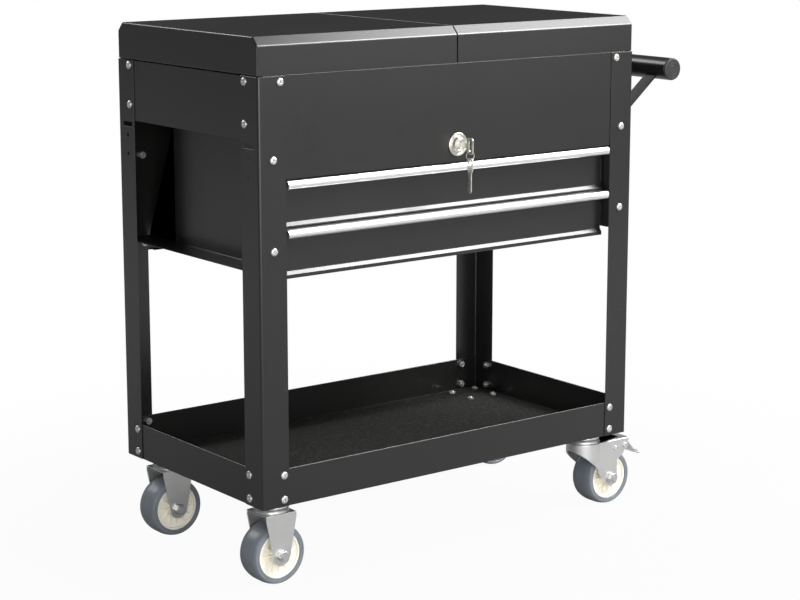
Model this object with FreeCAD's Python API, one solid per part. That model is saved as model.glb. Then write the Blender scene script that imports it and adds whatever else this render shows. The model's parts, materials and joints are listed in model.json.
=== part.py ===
import FreeCAD, Part
import math
import os

# Rolling tool cabinet, in millimetres, +Z up, standing on the floor at Z = 0.
# The pieces are drawn from the outer corner of the front left leg: X runs right along
# the front, Y runs back. export() then moves them to the middle of the whole object.

# Driving sizes
FRAME_WIDTH = 700.0
FRAME_DEPTH = 379.0
LEG_BOTTOM = 126.1
LEG_TOP = 738.3
LEG_FLANGE = 45.0
SHEET = 1.2
FOLD = 4.0
TOTAL_HEIGHT = 793.0

# Top chest
PANEL_BOTTOM = 594.5
CHEST_BOTTOM = 648.3
BACK_BOTTOM = 442.4
HEM = 10.0

# Lids
LID_BOTTOM = 740.0
LID_INSET_X = 0.7
LID_INSET_Y = 2.3
LID_SEAM = 2.0
CHAMFER_RUN = 12.0
CHAMFER_RISE = 12.5
RAIL_BOTTOM = 744.0
RAIL_TOP = 768.0
RAIL_DEPTH = 15.0

# Drawers and their housing
HOUSING_WALL = 44.0
HOUSING_BOTTOM = 465.0
HOUSING_END = 295.0
DRAWER_LEFT = 48.0
DRAWER_RIGHT = 652.0
DRAWER_PITCH = 69.5
TRIM_TOP = 592.9
TRIM_HEIGHT = 12.1
FRONT_FACE = 17.0
LIP_TOP = 531.0
LIP_BOTTOM = 526.0
LIP_FACE = 12.6
BOX_SIDE = 58.3
BOX_BACK = 318.0
BOX_HEIGHT = 50.0
CATCH_WALL = 31.0
SLIDE_LENGTH = 272.0
SLIDE_FRONT = 20.0

# Tray
TRAY_TOP = 180.6
MAT_THICKNESS = 2.0

# Lock and keys
LOCK_X = 350.0
LOCK_Z = 620.1
BEZEL_RADIUS = 17.5
LOCK_FACE = -6.0
PLUG_RADIUS = 7.4
PLUG_BORE = 7.5
CAM_LENGTH = 38.0
KEY_FRONT = -35.0
KEY_THICKNESS = 2.0
RING_RADIUS = 7.2
RING_WIRE = 0.8
RING_Y = -28.5

# Handle
BAR_X = 777.6
BAR_Z = 706.6
BAR_RADIUS = 17.5
BAR_FRONT = -10.0
BAR_BACK = 389.0
BRACKET_WIDTH = 24.5
BRACKET_THICKNESS = 3.0
SLOT_Y = 25.5
SLOT_Z = 642.3
SLOT_LENGTH = 26.0
SLOT_HEIGHT = 7.3
SLOT_HOLES = (625.5, 597.5)
SLOT_HOLE_RADIUS = 2.75

# Casters
CASTER_X = 46.0
CASTER_Y = 48.0
WHEEL_RADIUS = 45.3
WHEEL_WIDTH = 42.0
TREAD_CROWN = 3.0
HUB_RADIUS = 35.0
AXLE_RADIUS = 5.0
AXLE_BORE = 5.06
CASTER_OFFSET = 38.5
FORK_HALF = 26.0
FORK_SHEET = 2.0
FORK_TOP = 108.0
RACE_TOP = 114.0
PLATE_BOTTOM = 123.6
PLATE_SIDE = 70.0
BOLT_PITCH = 50.0
PIN_RADIUS = 5.0
PIN_HEAD = 8.0
HOOD_LENGTH = 76.0
BRAKE_PIN_X = 68.0
BRAKE_PIN_Z = 95.0
BRAKE_PIN_RADIUS = 3.0

# Fasteners
HEAD_RADIUS = 5.75
HEAD_HEIGHT = 3.0
RECESS_FLOOR = 1.4
SHANK_RADIUS = 3.0
HOLE_RADIUS = 3.2
NUT_FLATS = 10.0
NUT_HEIGHT = 5.0

FRONT_BOLTS = ((36.0, 730.5), (23.5, 623.2), (23.5, 495.5), (36.0, 172.5), (36.0, 136.9))
BACK_BOLTS = ((36.0, 730.5), (36.0, 590.0), (36.0, 455.0), (36.0, 172.5), (36.0, 136.9))
SIDE_BOLTS = ((34.0, 730.5), (34.0, 672.0), (34.0, 171.8), (34.0, 137.0))

X_MIDDLE = (BAR_X + BAR_RADIUS - HEAD_HEIGHT) / 2.0
Y_MIDDLE = (KEY_FRONT + BAR_BACK) / 2.0


def vec(x, y, z):
    return FreeCAD.Vector(x, y, z)


def box(x0, x1, y0, y1, z0, z1):
    return Part.makeBox(x1 - x0, y1 - y0, z1 - z0, vec(x0, y0, z0))


def rod(radius, start, axis, length):
    return Part.makeCylinder(radius, length, start, axis)


def prism(points, along, start, length):
    """Extrude an outline drawn in the plane across one axis."""
    places = {
        "X": lambda a, b: vec(start, a, b),
        "Y": lambda a, b: vec(a, start, b),
        "Z": lambda a, b: vec(a, b, start),
    }[along]
    way = {"X": vec(length, 0, 0), "Y": vec(0, length, 0), "Z": vec(0, 0, length)}[along]
    corners = [places(a, b) for a, b in points]
    return Part.Face(Part.makePolygon(corners + corners[:1])).extrude(way)


def ribbon(points, thickness):
    """Outline of a bent strip: the given line is its right-hand face, thickness is to its left."""
    normals = []
    for (ax, ay), (bx, by) in zip(points, points[1:]):
        length = math.hypot(bx - ax, by - ay)
        normals.append(((ay - by) / length, (bx - ax) / length))
    far = []
    for i, (x, y) in enumerate(points):
        before = normals[max(i - 1, 0)]
        after = normals[min(i, len(normals) - 1)]
        sx, sy = before[0] + after[0], before[1] + after[1]
        scale = 2.0 * thickness / (sx * sx + sy * sy)
        far.append((x + sx * scale, y + sy * scale))
    return list(points) + far[::-1]


def fuse(shapes):
    shapes = list(shapes)
    return shapes[0].multiFuse(shapes[1:]).removeSplitter() if len(shapes) > 1 else shapes[0]


def upright_edges(shape, x, y, reach=0.1):
    """Vertical edges that stand at one point of the plan."""
    found = []
    for edge in shape.Edges:
        a, b = edge.Vertexes[0].Point, edge.Vertexes[-1].Point
        level = abs(a.x - x) < reach and abs(a.y - y) < reach
        if level and abs(b.x - x) < reach and abs(b.y - y) < reach:
            found.append(edge)
    return found


def mirrored_x(shape, middle):
    return shape.mirror(vec(middle, 0, 0), vec(1, 0, 0))


def mirrored_y(shape, middle=FRAME_DEPTH / 2.0):
    return shape.mirror(vec(0, middle, 0), vec(0, 1, 0))


def moved(shape, x, y, z):
    copy = shape.copy()
    copy.translate(vec(x, y, z))
    return copy


def hexagon(flats, centre, axis, length):
    """Hexagonal prism with its bearing face at centre, growing along axis."""
    radius = flats / math.sqrt(3.0)
    corners = [
        vec(radius * math.cos(math.radians(60 * k)), radius * math.sin(math.radians(60 * k)), 0)
        for k in range(6)
    ]
    solid = Part.Face(Part.makePolygon(corners + corners[:1])).extrude(vec(0, 0, length))
    return aimed(solid, centre, axis)


def aimed(shape, centre, axis):
    """Move a shape drawn along +Z from the origin so that it runs along axis from centre."""
    copy = shape.copy()
    copy.Placement = FreeCAD.Placement(centre, FreeCAD.Rotation(vec(0, 0, 1), axis))
    return copy


def spun(profile, centre, axis):
    """Turn a half outline of (radius, height) points around axis, which starts at centre."""
    corners = [vec(r, 0, h) for r, h in profile]
    face = Part.Face(Part.makePolygon(corners + corners[:1]))
    return aimed(face.revolve(vec(0, 0, 0), vec(0, 0, 1), 360), centre, axis)


def export(node, shape):
    placed = moved(shape, -X_MIDDLE, -Y_MIDDLE, 0)
    placed.exportStep("parts/%s.step" % node)


# Fasteners


def pan_bolt(place, outward, grip):
    """Domed bolt with a cross recess; its head sits on place and its shank runs inward."""
    rim, shoulder, crown = 0.9, 2.1, 3.0
    profile = [
        (0, 0),
        (HEAD_RADIUS, 0),
        (HEAD_RADIUS, rim),
        (HEAD_RADIUS - rim, shoulder),
        (crown, HEAD_HEIGHT),
        (0, HEAD_HEIGHT),
    ]
    dome = spun(profile, vec(0, 0, 0), vec(0, 0, 1))
    arm, slit = 2.6, 0.6
    cross = fuse([
        box(-arm, arm, -slit, slit, RECESS_FLOOR, 4),
        box(-slit, slit, -arm, arm, RECESS_FLOOR, 4),
    ])
    shank = rod(SHANK_RADIUS, vec(0, 0, -grip), vec(0, 0, 1), grip + 0.5)
    return aimed(fuse([dome.cut(cross), shank]), place, outward)


def hex_nut(place, outward, flats=NUT_FLATS, height=NUT_HEIGHT, bore=SHANK_RADIUS + 0.1):
    body = hexagon(flats, vec(0, 0, 0), vec(0, 0, 1), height)
    crown = spun(
        [(0, -1), (flats * 0.62, -1), (flats * 0.62, height - 1.2), (flats * 0.46, height), (0, height)],
        vec(0, 0, 0),
        vec(0, 0, 1),
    )
    hole = rod(bore, vec(0, 0, -1), vec(0, 0, 1), height + 2)
    return aimed(body.common(crown).cut(hole), place, outward)


def frame_bolt_places():
    """Every bolt through a leg: (point on the outer face, outward way, stack of sheet behind it)."""
    places = []
    for right in (False, True):
        for back in (False, True):
            for inset, z in BACK_BOLTS if back else FRONT_BOLTS:
                x = FRAME_WIDTH - inset if right else inset
                y = FRAME_DEPTH if back else 0.0
                stack = 3 * SHEET if inset == 23.5 else 2 * SHEET
                places.append((vec(x, y, z), vec(0, 1 if back else -1, 0), stack))
            for inset, z in SIDE_BOLTS:
                x = FRAME_WIDTH if right else 0.0
                y = FRAME_DEPTH - inset if back else inset
                places.append((vec(x, y, z), vec(1 if right else -1, 0, 0), 2 * SHEET))
    return places


def bracket_bolt_places():
    stack = SHEET + BRACKET_THICKNESS
    sides = (SLOT_Y, FRAME_DEPTH - SLOT_Y)
    return [(vec(FRAME_WIDTH, y, z), vec(1, 0, 0), stack) for y in sides for z in SLOT_HOLES]


def drilled(shape, places, radius=HOLE_RADIUS):
    """Holes for the bolts whose shank passes through this sheet."""
    tools = []
    for place, outward, _ in places:
        drill = rod(radius, place + outward * 2.0, outward * -1.0, 9.0)
        if drill.common(shape).Volume > 0.5:
            tools.append(drill)
    return shape.cut(Part.makeCompound(tools)) if tools else shape


ALL_BOLTS = frame_bolt_places()


# Frame


def corner_leg():
    """Front left leg: an angle with a rounded fold, its bolt holes and the bracket slot."""
    ell = [
        (0, 0),
        (LEG_FLANGE, 0),
        (LEG_FLANGE, SHEET),
        (SHEET, SHEET),
        (SHEET, LEG_FLANGE),
        (0, LEG_FLANGE),
    ]
    leg = prism(ell, "Z", LEG_BOTTOM, LEG_TOP - LEG_BOTTOM)
    leg = leg.makeFillet(FOLD, upright_edges(leg, 0, 0))
    leg = leg.makeFillet(FOLD - SHEET, upright_edges(leg, SHEET, SHEET))
    half = SLOT_HEIGHT / 2.0
    reach = SLOT_LENGTH / 2.0
    slot = box(-1, SHEET + 1, SLOT_Y - reach, SLOT_Y + reach, SLOT_Z - half, SLOT_Z + half)
    holes = [rod(SLOT_HOLE_RADIUS, vec(-1, SLOT_Y, z), vec(1, 0, 0), SHEET + 2) for z in SLOT_HOLES]
    return leg.cut(Part.makeCompound([slot] + holes))


def make_legs():
    base = corner_leg()
    for right in (False, True):
        for back in (False, True):
            leg = mirrored_x(base, FRAME_WIDTH / 2.0) if right else base
            leg = mirrored_y(leg) if back else leg
            leg = drilled(leg, ALL_BOLTS)
            if right:
                leg = drilled(leg, bracket_bolt_places())
            name = "leg_%s_%s" % ("rear" if back else "front", "right" if right else "left")
            export(name, leg)


def make_tray():
    lo, hi_x, hi_y = SHEET, FRAME_WIDTH - SHEET, FRAME_DEPTH - SHEET
    outside = box(lo, hi_x, lo, hi_y, LEG_BOTTOM, TRAY_TOP)
    corners = [(lo, lo), (lo, hi_y), (hi_x, lo), (hi_x, hi_y)]
    edges = [e for x, y in corners for e in upright_edges(outside, x, y)]
    outside = outside.makeFillet(3.0, edges)
    inside = box(lo + SHEET, hi_x - SHEET, lo + SHEET, hi_y - SHEET, LEG_BOTTOM + SHEET, TRAY_TOP + 1)
    corners = [(x + (SHEET if x == lo else -SHEET), y + (SHEET if y == lo else -SHEET)) for x, y in corners]
    edges = [e for x, y in corners for e in upright_edges(inside, x, y)]
    inside = inside.makeFillet(3.0 - SHEET, edges)
    tray = drilled(outside.cut(inside), ALL_BOLTS)
    holes = [rod(HOLE_RADIUS, p + vec(0, 0, -5), vec(0, 0, 1), 12) for p in caster_bolt_places()]
    export("shelf_tray", tray.cut(Part.makeCompound(holes)))
    floor = LEG_BOTTOM + SHEET
    mat = box(4.5, FRAME_WIDTH - 4.5, 4.5, FRAME_DEPTH - 4.5, floor, floor + MAT_THICKNESS)
    holes = [rod(7.0, p + vec(0, 0, -5), vec(0, 0, 1), 12) for p in caster_bolt_places()]
    export("shelf_mat", mat.cut(Part.makeCompound(holes)))


def make_chest():
    y0, y1 = SHEET, 2 * SHEET
    top = LEG_TOP - 0.1
    left, right = 6.0, FRAME_WIDTH - 6.0
    hem_from = HOUSING_WALL + 4.0
    front = fuse([
        box(left, right, y0, y1, PANEL_BOTTOM, top),
        box(left, right, y0, RAIL_DEPTH + 1.2, top - SHEET, top),
        box(hem_from, FRAME_WIDTH - hem_from, y0, y0 + HEM, PANEL_BOTTOM, PANEL_BOTTOM + SHEET),
    ])
    barrel = rod(9.8, vec(LOCK_X, -5, LOCK_Z), vec(0, 1, 0), 20)
    export("front_panel", drilled(front.cut(barrel), ALL_BOLTS))

    y0, y1 = FRAME_DEPTH - 2 * SHEET, FRAME_DEPTH - SHEET
    back = fuse([
        box(left, right, y0, y1, BACK_BOTTOM, top),
        box(left, right, y1 - RAIL_DEPTH, y1, top - SHEET, top),
        box(50, FRAME_WIDTH - 50, y1 - HEM, y1, BACK_BOTTOM, BACK_BOTTOM + SHEET),
    ])
    export("back_panel", drilled(back, ALL_BOLTS))

    side = fuse([
        box(SHEET, 2 * SHEET, 4.4, FRAME_DEPTH - 4.4, CHEST_BOTTOM, top),
        box(SHEET, 17.0, 4.4, FRAME_DEPTH - 4.4, CHEST_BOTTOM, CHEST_BOTTOM + SHEET),
    ])
    export("side_panel_left", drilled(side, ALL_BOLTS))
    export("side_panel_right", drilled(mirrored_x(side, FRAME_WIDTH / 2.0), ALL_BOLTS))

    low = CHEST_BOTTOM + SHEET
    lo_y, hi_y = 2 * SHEET + 0.1, FRAME_DEPTH - 2 * SHEET - 0.1
    floor = fuse([
        box(2.6, FRAME_WIDTH - 2.6, lo_y, hi_y, low, low + SHEET),
        box(8.0, FRAME_WIDTH - 8.0, lo_y, lo_y + SHEET, low, low + 14),
        box(8.0, FRAME_WIDTH - 8.0, hi_y - SHEET, hi_y, low, low + 14),
    ])
    export("chest_floor", floor)


def make_housing():
    wall, out = HOUSING_WALL, 2 * SHEET
    top = CHEST_BOTTOM + SHEET
    rear = FRAME_DEPTH - FOLD - 0.4
    housing = fuse([
        box(wall, wall + SHEET, out, HOUSING_END, HOUSING_BOTTOM, top),
        box(6.0, wall + SHEET, out, out + SHEET, HOUSING_BOTTOM, CHEST_BOTTOM),
        box(1.4, wall + SHEET, 4.4, rear, HOUSING_BOTTOM, HOUSING_BOTTOM + SHEET),
        box(6.0, wall + SHEET, out, 6.0, HOUSING_BOTTOM, HOUSING_BOTTOM + SHEET),
        box(18.0, wall + SHEET, out, HOUSING_END, CHEST_BOTTOM, top),
    ])
    housing = drilled(housing, ALL_BOLTS)
    export("drawer_housing_left", housing)
    export("drawer_housing_right", drilled(mirrored_x(housing, FRAME_WIDTH / 2.0), ALL_BOLTS))


# Lids


def lid_outline(inset):
    """Cross-section of a lid in Y and Z, drawn the given distance inside its outer face."""
    front = LID_INSET_Y + inset
    back = FRAME_DEPTH - LID_INSET_Y - inset
    top = TOTAL_HEIGHT - inset
    slope = math.hypot(CHAMFER_RUN, CHAMFER_RISE)
    shoulder = TOTAL_HEIGHT - CHAMFER_RISE - inset * (slope - CHAMFER_RISE) / CHAMFER_RUN
    edge = LID_INSET_Y + CHAMFER_RUN + inset * (slope - CHAMFER_RUN) / CHAMFER_RISE
    return [
        (front, LID_BOTTOM),
        (front, shoulder),
        (edge, top),
        (FRAME_DEPTH - edge, top),
        (back, shoulder),
        (back, LID_BOTTOM),
    ]


def make_lids():
    start, end = LID_INSET_X, (FRAME_WIDTH - LID_SEAM) / 2.0
    outer = prism(lid_outline(0.0), "X", start, end - start)
    hollow = [(y, z - 1 if z == LID_BOTTOM else z) for y, z in lid_outline(SHEET)]
    inner = prism(hollow, "X", start + SHEET, end)
    front_lip = box(start + 8, end, LID_INSET_Y, LID_INSET_Y + 8, LID_BOTTOM, LID_BOTTOM + SHEET)
    seam_fold = outer.common(box(end - SHEET, end, 0, FRAME_DEPTH, TOTAL_HEIGHT - HEM, TOTAL_HEIGHT))
    lid = fuse([outer.cut(inner), front_lip, mirrored_y(front_lip), seam_fold])
    export("lid_left", lid)
    export("lid_right", mirrored_x(lid, FRAME_WIDTH / 2.0))

    web = LID_INSET_Y + SHEET
    low, high = RAIL_BOTTOM + 3.5, RAIL_TOP - 3.5
    runner = fuse([
        box(6.0, end - 6, web, web + SHEET, low, high),
        box(6.0, end - 6, web, web + 8, low, low + SHEET),
        box(6.0, end - 6, web, web + 8, high - SHEET, high),
    ])
    pair = Part.makeCompound([runner, mirrored_y(runner)])
    export("lid_left_runners", pair)
    export("lid_right_runners", mirrored_x(pair, FRAME_WIDTH / 2.0))

    x0, x1 = 12.0, FRAME_WIDTH - 12.0
    foot = LEG_TOP - 0.1
    rail = fuse([
        box(x0, x1, RAIL_DEPTH - SHEET, RAIL_DEPTH, foot, RAIL_TOP),
        box(x0, x1, 4.0, RAIL_DEPTH, foot, foot + SHEET),
        box(x0, x1, 8.0, RAIL_DEPTH, RAIL_BOTTOM, RAIL_BOTTOM + SHEET),
        box(x0, x1, 8.0, RAIL_DEPTH, RAIL_TOP - SHEET, RAIL_TOP),
    ])
    export("lid_rails", Part.makeCompound([rail, mirrored_y(rail)]))


# Drawers


def channel(x_web, x_lip, middle, half, thickness):
    """Slide member: a web with two flanges that reach from x_web to x_lip."""
    y0, y1 = SLIDE_FRONT, SLIDE_FRONT + SLIDE_LENGTH
    step = thickness if x_lip > x_web else -thickness
    lo, hi = sorted((x_web, x_web + step))
    far_lo, far_hi = sorted((x_web, x_lip))
    return fuse([
        box(lo, hi, y0, y1, middle - half, middle + half),
        box(far_lo, far_hi, y0, y1, middle - half, middle - half + thickness),
        box(far_lo, far_hi, y0, y1, middle + half - thickness, middle + half),
    ])


def both_sides(shape):
    return [shape, mirrored_x(shape, FRAME_WIDTH / 2.0)]


def make_drawers():
    outers = []
    for name, drop, hem in (("upper", 0.0, 1.2), ("lower", DRAWER_PITCH, 4.5)):
        make_drawer("drawer_" + name, drop, hem)
        middle = LIP_TOP + 22.0 - drop
        outer = channel(HOUSING_WALL + SHEET + 0.05, 54.5, middle, 17.5, SHEET)
        between = channel(48.4, 56.0, middle, 14.4, 1.0)
        inner = channel(BOX_SIDE - 0.05, 51.2, middle, 10.4, 1.0)
        outers += both_sides(outer)
        export("drawer_%s_slide_middle" % name, Part.makeCompound(both_sides(between)))
        export("drawer_%s_slide_inner" % name, Part.makeCompound(both_sides(inner)))
    export("slide_outer_members", Part.makeCompound(outers))


def make_drawer(name, drop, hem):
    thin = 1.0
    width = DRAWER_RIGHT - DRAWER_LEFT
    base = LIP_TOP - 1.8 - drop
    left, right = BOX_SIDE, FRAME_WIDTH - BOX_SIDE
    start = FRONT_FACE + SHEET + 0.05
    tray = box(left, right, CATCH_WALL, BOX_BACK, base, base + BOX_HEIGHT)
    front, back = CATCH_WALL + thin, BOX_BACK - thin
    tray = tray.cut(box(left + thin, right - thin, front, back, base + thin, base + 99))
    catch = box(left, right, CATCH_WALL, CATCH_WALL + thin, base, TRIM_TOP - 4.9 - drop)
    apron = box(left, right, start, CATCH_WALL + thin, base, base + thin)
    export(name + "_box", fuse([tray, catch, apron]))

    face = [
        (FRONT_FACE, TRIM_TOP - 1.7 - drop),
        (FRONT_FACE, LIP_TOP - drop),
        (LIP_FACE, LIP_BOTTOM - drop),
        (LIP_FACE, LIP_BOTTOM - hem - drop),
    ]
    front = prism(ribbon(face, SHEET), "X", DRAWER_LEFT, width)
    export(name + "_front", front)

    wall = 1.5
    top = TRIM_TOP - drop
    low = top - TRIM_HEIGHT
    line = [
        (FRONT_FACE + SHEET + wall + 0.05, top - 9.0),
        (FRONT_FACE + SHEET + wall + 0.05, top),
        (1.4, top),
        (-1.0, top - 1.3),
        (-2.5, top - 4.4),
        (-2.5, low + 3.6),
        (-1.2, low + 0.8),
        (0.4, low),
        (1.5, low),
    ]
    trim = prism(ribbon(line, wall), "X", DRAWER_LEFT, width)
    export(name + "_trim", trim)


# Lock and keys


def make_lock():
    toward = vec(0, -1, 0)
    face = -LOCK_FACE + SHEET
    bezel = spun(
        [
            (PLUG_BORE, 0),
            (BEZEL_RADIUS, 0),
            (BEZEL_RADIUS, 1.6),
            (BEZEL_RADIUS - 1.2, 2.8),
            (BEZEL_RADIUS - 3.0, 2.8),
            (BEZEL_RADIUS - 4.0, 2.0),
            (10.6, face - 0.6),
            (9.6, face),
            (PLUG_BORE, face),
        ],
        vec(LOCK_X, SHEET, LOCK_Z),
        toward,
    )
    barrel = rod(9.5, vec(LOCK_X, SHEET - 0.5, LOCK_Z), vec(0, 1, 0), 22.5)
    barrel = barrel.cut(rod(PLUG_BORE, vec(LOCK_X, -5, LOCK_Z), vec(0, 1, 0), 60))
    export("lock_body", fuse([bezel, barrel]))

    rear = SHEET + 22.3
    plug = fuse([
        rod(PLUG_RADIUS, vec(LOCK_X, LOCK_FACE, LOCK_Z), vec(0, 1, 0), rear - LOCK_FACE),
        box(LOCK_X - 4, LOCK_X + 4, rear - 1, rear + 3.4, LOCK_Z - 4, LOCK_Z + 4),
    ])
    keyway = box(LOCK_X - 1.3, LOCK_X + 1.3, LOCK_FACE - 1, LOCK_FACE + 20, LOCK_Z - 4.4, LOCK_Z + 4.4)
    screw_hole = rod(2.1, vec(LOCK_X, rear - 3, LOCK_Z), vec(0, 1, 0), 9)
    export("lock_plug", plug.cut(keyway).cut(screw_hole))

    cam_y = rear + 0.8
    cam = fuse([
        rod(7.0, vec(LOCK_X, cam_y, LOCK_Z), vec(0, 1, 0), 2.0),
        box(LOCK_X, LOCK_X + CAM_LENGTH - 6, cam_y, cam_y + 2.0, LOCK_Z - 6, LOCK_Z + 6),
        rod(6.0, vec(LOCK_X + CAM_LENGTH - 6, cam_y, LOCK_Z), vec(0, 1, 0), 2.0),
    ])
    cam = cam.cut(box(LOCK_X - 4.1, LOCK_X + 4.1, cam_y - 1, cam_y + 3, LOCK_Z - 4.1, LOCK_Z + 4.1))
    screw = fuse([
        rod(2.0, vec(LOCK_X, rear - 2, LOCK_Z), vec(0, 1, 0), 6.0),
        rod(5.6, vec(LOCK_X, rear + 3.5, LOCK_Z), vec(0, 1, 0), 2.4),
    ])
    export("lock_cam", Part.makeCompound([cam, screw]))


def flat_key(bow_long, bow_wide, slot_long, slot_wide, slot_from_end, blade_long, blade_wide):
    """Key lying in the XZ plane: bow end at the origin, blade pointing to -Z."""
    half = KEY_THICKNESS / 2.0
    corner = min(bow_wide, bow_long) * 0.3
    bow = box(-bow_wide / 2, bow_wide / 2, -half, half, -bow_long, 0)
    edges = [e for e in bow.Edges if abs(e.Vertexes[0].Point.y - e.Vertexes[-1].Point.y) > half]
    bow = bow.makeFillet(corner, edges)
    slot = box(-slot_wide / 2, slot_wide / 2, -5, 5, -slot_from_end - slot_long, -slot_from_end)
    edges = [e for e in slot.Edges if abs(e.Vertexes[0].Point.y - e.Vertexes[-1].Point.y) > 1]
    slot = slot.makeFillet(min(slot_long, slot_wide) * 0.45, edges)
    neck = blade_wide / 2.0
    blade = prism(
        [
            (-neck - 1.5, -bow_long + 1),
            (-neck, -bow_long - 3),
            (-neck, -bow_long - blade_long + 2),
            (0, -bow_long - blade_long),
            (neck, -bow_long - blade_long + 2),
            (neck, -bow_long - blade_long * 0.7),
            (neck - 1.1, -bow_long - blade_long * 0.62),
            (neck, -bow_long - blade_long * 0.5),
            (neck - 1.3, -bow_long - blade_long * 0.4),
            (neck, -bow_long - blade_long * 0.3),
            (neck, -bow_long - 3),
            (neck + 1.5, -bow_long + 1),
        ],
        "Y",
        -half,
        KEY_THICKNESS,
    )
    return fuse([bow, blade]).cut(slot)


def make_keys():
    bow_long, bow_wide = 14.0, 24.0
    slot_wide = 16.0
    key = flat_key(bow_long, bow_wide, 5.0, slot_wide, 4.0, -KEY_FRONT + LOCK_FACE + 4.0, 7.6)
    # The blade runs back into the lock and the key stands on edge.
    key.Placement = FreeCAD.Placement(
        vec(LOCK_X, KEY_FRONT, LOCK_Z), FreeCAD.Rotation(vec(0, 0, 1), vec(0, 0, 0), vec(0, -1, 0), "ZXY")
    )
    export("key", key)

    pivot_z = LOCK_Z - slot_wide / 2.0 + RING_WIRE + 0.2
    centre = vec(LOCK_X, RING_Y, pivot_z - RING_RADIUS)
    export("key_ring", Part.makeTorus(RING_RADIUS, RING_WIRE, centre, vec(0, 1, 0)))

    low = pivot_z - 2 * RING_RADIUS
    rim = 2.6
    spare = flat_key(20.0, 12.0, 9.0, 6.0, rim, 32.0, 6.4)
    spare.rotate(vec(0, 0, 0), vec(0, 0, 1), 90)
    export("spare_key", moved(spare, LOCK_X, RING_Y, low + RING_WIRE + 0.25 + rim))


# Handle


def make_handle():
    wall = 1.5
    cap = 3.0
    length = BAR_BACK - BAR_FRONT - 2 * cap
    start = vec(BAR_X, BAR_FRONT + cap, BAR_Z)
    hollow = rod(BAR_RADIUS - wall, start, vec(0, 1, 0), length)
    tube = rod(BAR_RADIUS, start, vec(0, 1, 0), length).cut(hollow)
    export("handle_bar", tube)
    inside = BAR_RADIUS - wall - 0.1
    rim = BAR_RADIUS - 0.3
    profile = [(0, 0), (inside, 0), (inside, 12), (rim, 12), (rim, 14), (rim - 1.3, 15), (0, 15)]
    plug = spun(profile, vec(BAR_X, BAR_FRONT + 15, BAR_Z), vec(0, -1, 0))
    export("handle_end_caps", Part.makeCompound([plug, mirrored_y(plug)]))

    rise = math.atan2(BAR_Z - SLOT_Z, BAR_X - FRAME_WIDTH + SHEET / 2.0)
    half = BRACKET_THICKNESS / 2.0
    x_in = FRAME_WIDTH - SHEET - BRACKET_THICKNESS
    centre_x = x_in + half
    bend_z = SLOT_Z - (FRAME_WIDTH - SHEET / 2.0 - centre_x) * math.tan(rise)
    shift = half * math.tan((math.pi / 2 - rise) / 2)
    line = [
        (x_in + BRACKET_THICKNESS, SLOT_HOLES[1] - 9.0),
        (x_in + BRACKET_THICKNESS, bend_z - shift),
        (BAR_X + half * math.sin(rise), BAR_Z - half * math.cos(rise)),
    ]
    strip = prism(ribbon(line, BRACKET_THICKNESS), "Y", SLOT_Y - BRACKET_WIDTH / 2, BRACKET_WIDTH)
    strip = strip.cut(rod(BAR_RADIUS + 0.05, vec(BAR_X, -50, BAR_Z), vec(0, 1, 0), 600))
    strip = max(strip.Solids, key=lambda solid: solid.Volume)
    holes = [rod(HOLE_RADIUS, vec(FRAME_WIDTH - 20, SLOT_Y, z), vec(1, 0, 0), 30) for z in SLOT_HOLES]
    strip = strip.cut(Part.makeCompound(holes))
    export("handle_bracket_front", strip)
    export("handle_bracket_rear", mirrored_y(strip))


# Casters


def caster_centres():
    """The four casters in plan: (x, y, swivels)."""
    ys = (CASTER_Y, FRAME_DEPTH - CASTER_Y)
    return [(CASTER_X, y, False) for y in ys] + [(FRAME_WIDTH - CASTER_X, y, True) for y in ys]


def caster_bolt_places():
    half = BOLT_PITCH / 2.0
    corners = [(sx * half, sy * half) for sx in (-1, 1) for sy in (-1, 1)]
    return [vec(x + dx, y + dy, LEG_BOTTOM) for x, y, _ in caster_centres() for dx, dy in corners]


def make_plates():
    solids = []
    for x, y, swivels in caster_centres():
        half = PLATE_SIDE / 2.0
        plate = box(x - half, x + half, y - half, y + half, PLATE_BOTTOM, LEG_BOTTOM)
        corners = [(x + sx * half, y + sy * half) for sx in (-1, 1) for sy in (-1, 1)]
        edges = [e for cx, cy in corners for e in upright_edges(plate, cx, cy)]
        plate = plate.makeFillet(6.0, edges)
        race_low = RACE_TOP + (0.6 if swivels else 0.0)
        height = PLATE_BOTTOM - race_low + 0.5
        race = spun([(0, 0), (18, 0), (24, height), (0, height)], vec(x, y, race_low), vec(0, 0, 1))
        plate = fuse([plate, race])
        holes = [rod(HOLE_RADIUS, p + vec(0, 0, -9), vec(0, 0, 1), 12) for p in caster_bolt_places()]
        plate = plate.cut(Part.makeCompound(holes))
        if swivels:
            plate = plate.cut(rod(PIN_RADIUS + 0.05, vec(x, y, 100), vec(0, 0, 1), 40))
            top = LEG_BOTTOM - 0.1
            under = FORK_TOP - FORK_SHEET - 0.8
            pin = fuse([
                rod(PIN_RADIUS, vec(x, y, under), vec(0, 0, 1), top - under),
                rod(PIN_HEAD, vec(x, y, under - 2.8), vec(0, 0, 1), 3.0),
            ])
            solids.append(pin)
        solids.append(plate)
    export("caster_plates", Part.makeCompound(solids))


def crown(x, y, top, bore):
    """Round raceway that stands on the fork."""
    ring = spun([(0, 0), (25.6, 0), (26.0, 1.5), (25.0, 4.0), (21.0, top - FORK_TOP), (0, top - FORK_TOP)],
                vec(x, y, FORK_TOP), vec(0, 0, 1))
    return ring.cut(rod(bore, vec(x, y, FORK_TOP - 1), vec(0, 0, 1), 20)) if bore else ring


def side_outline(points, centre_x, low_z, radius, y0, depth):
    """Fork cheek seen from the side: straight edges down to a round foot."""
    blade = prism(points, "Y", y0, depth)
    foot = rod(radius, vec(centre_x, y0, low_z), vec(0, 1, 0), depth)
    return fuse([blade, foot])


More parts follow.
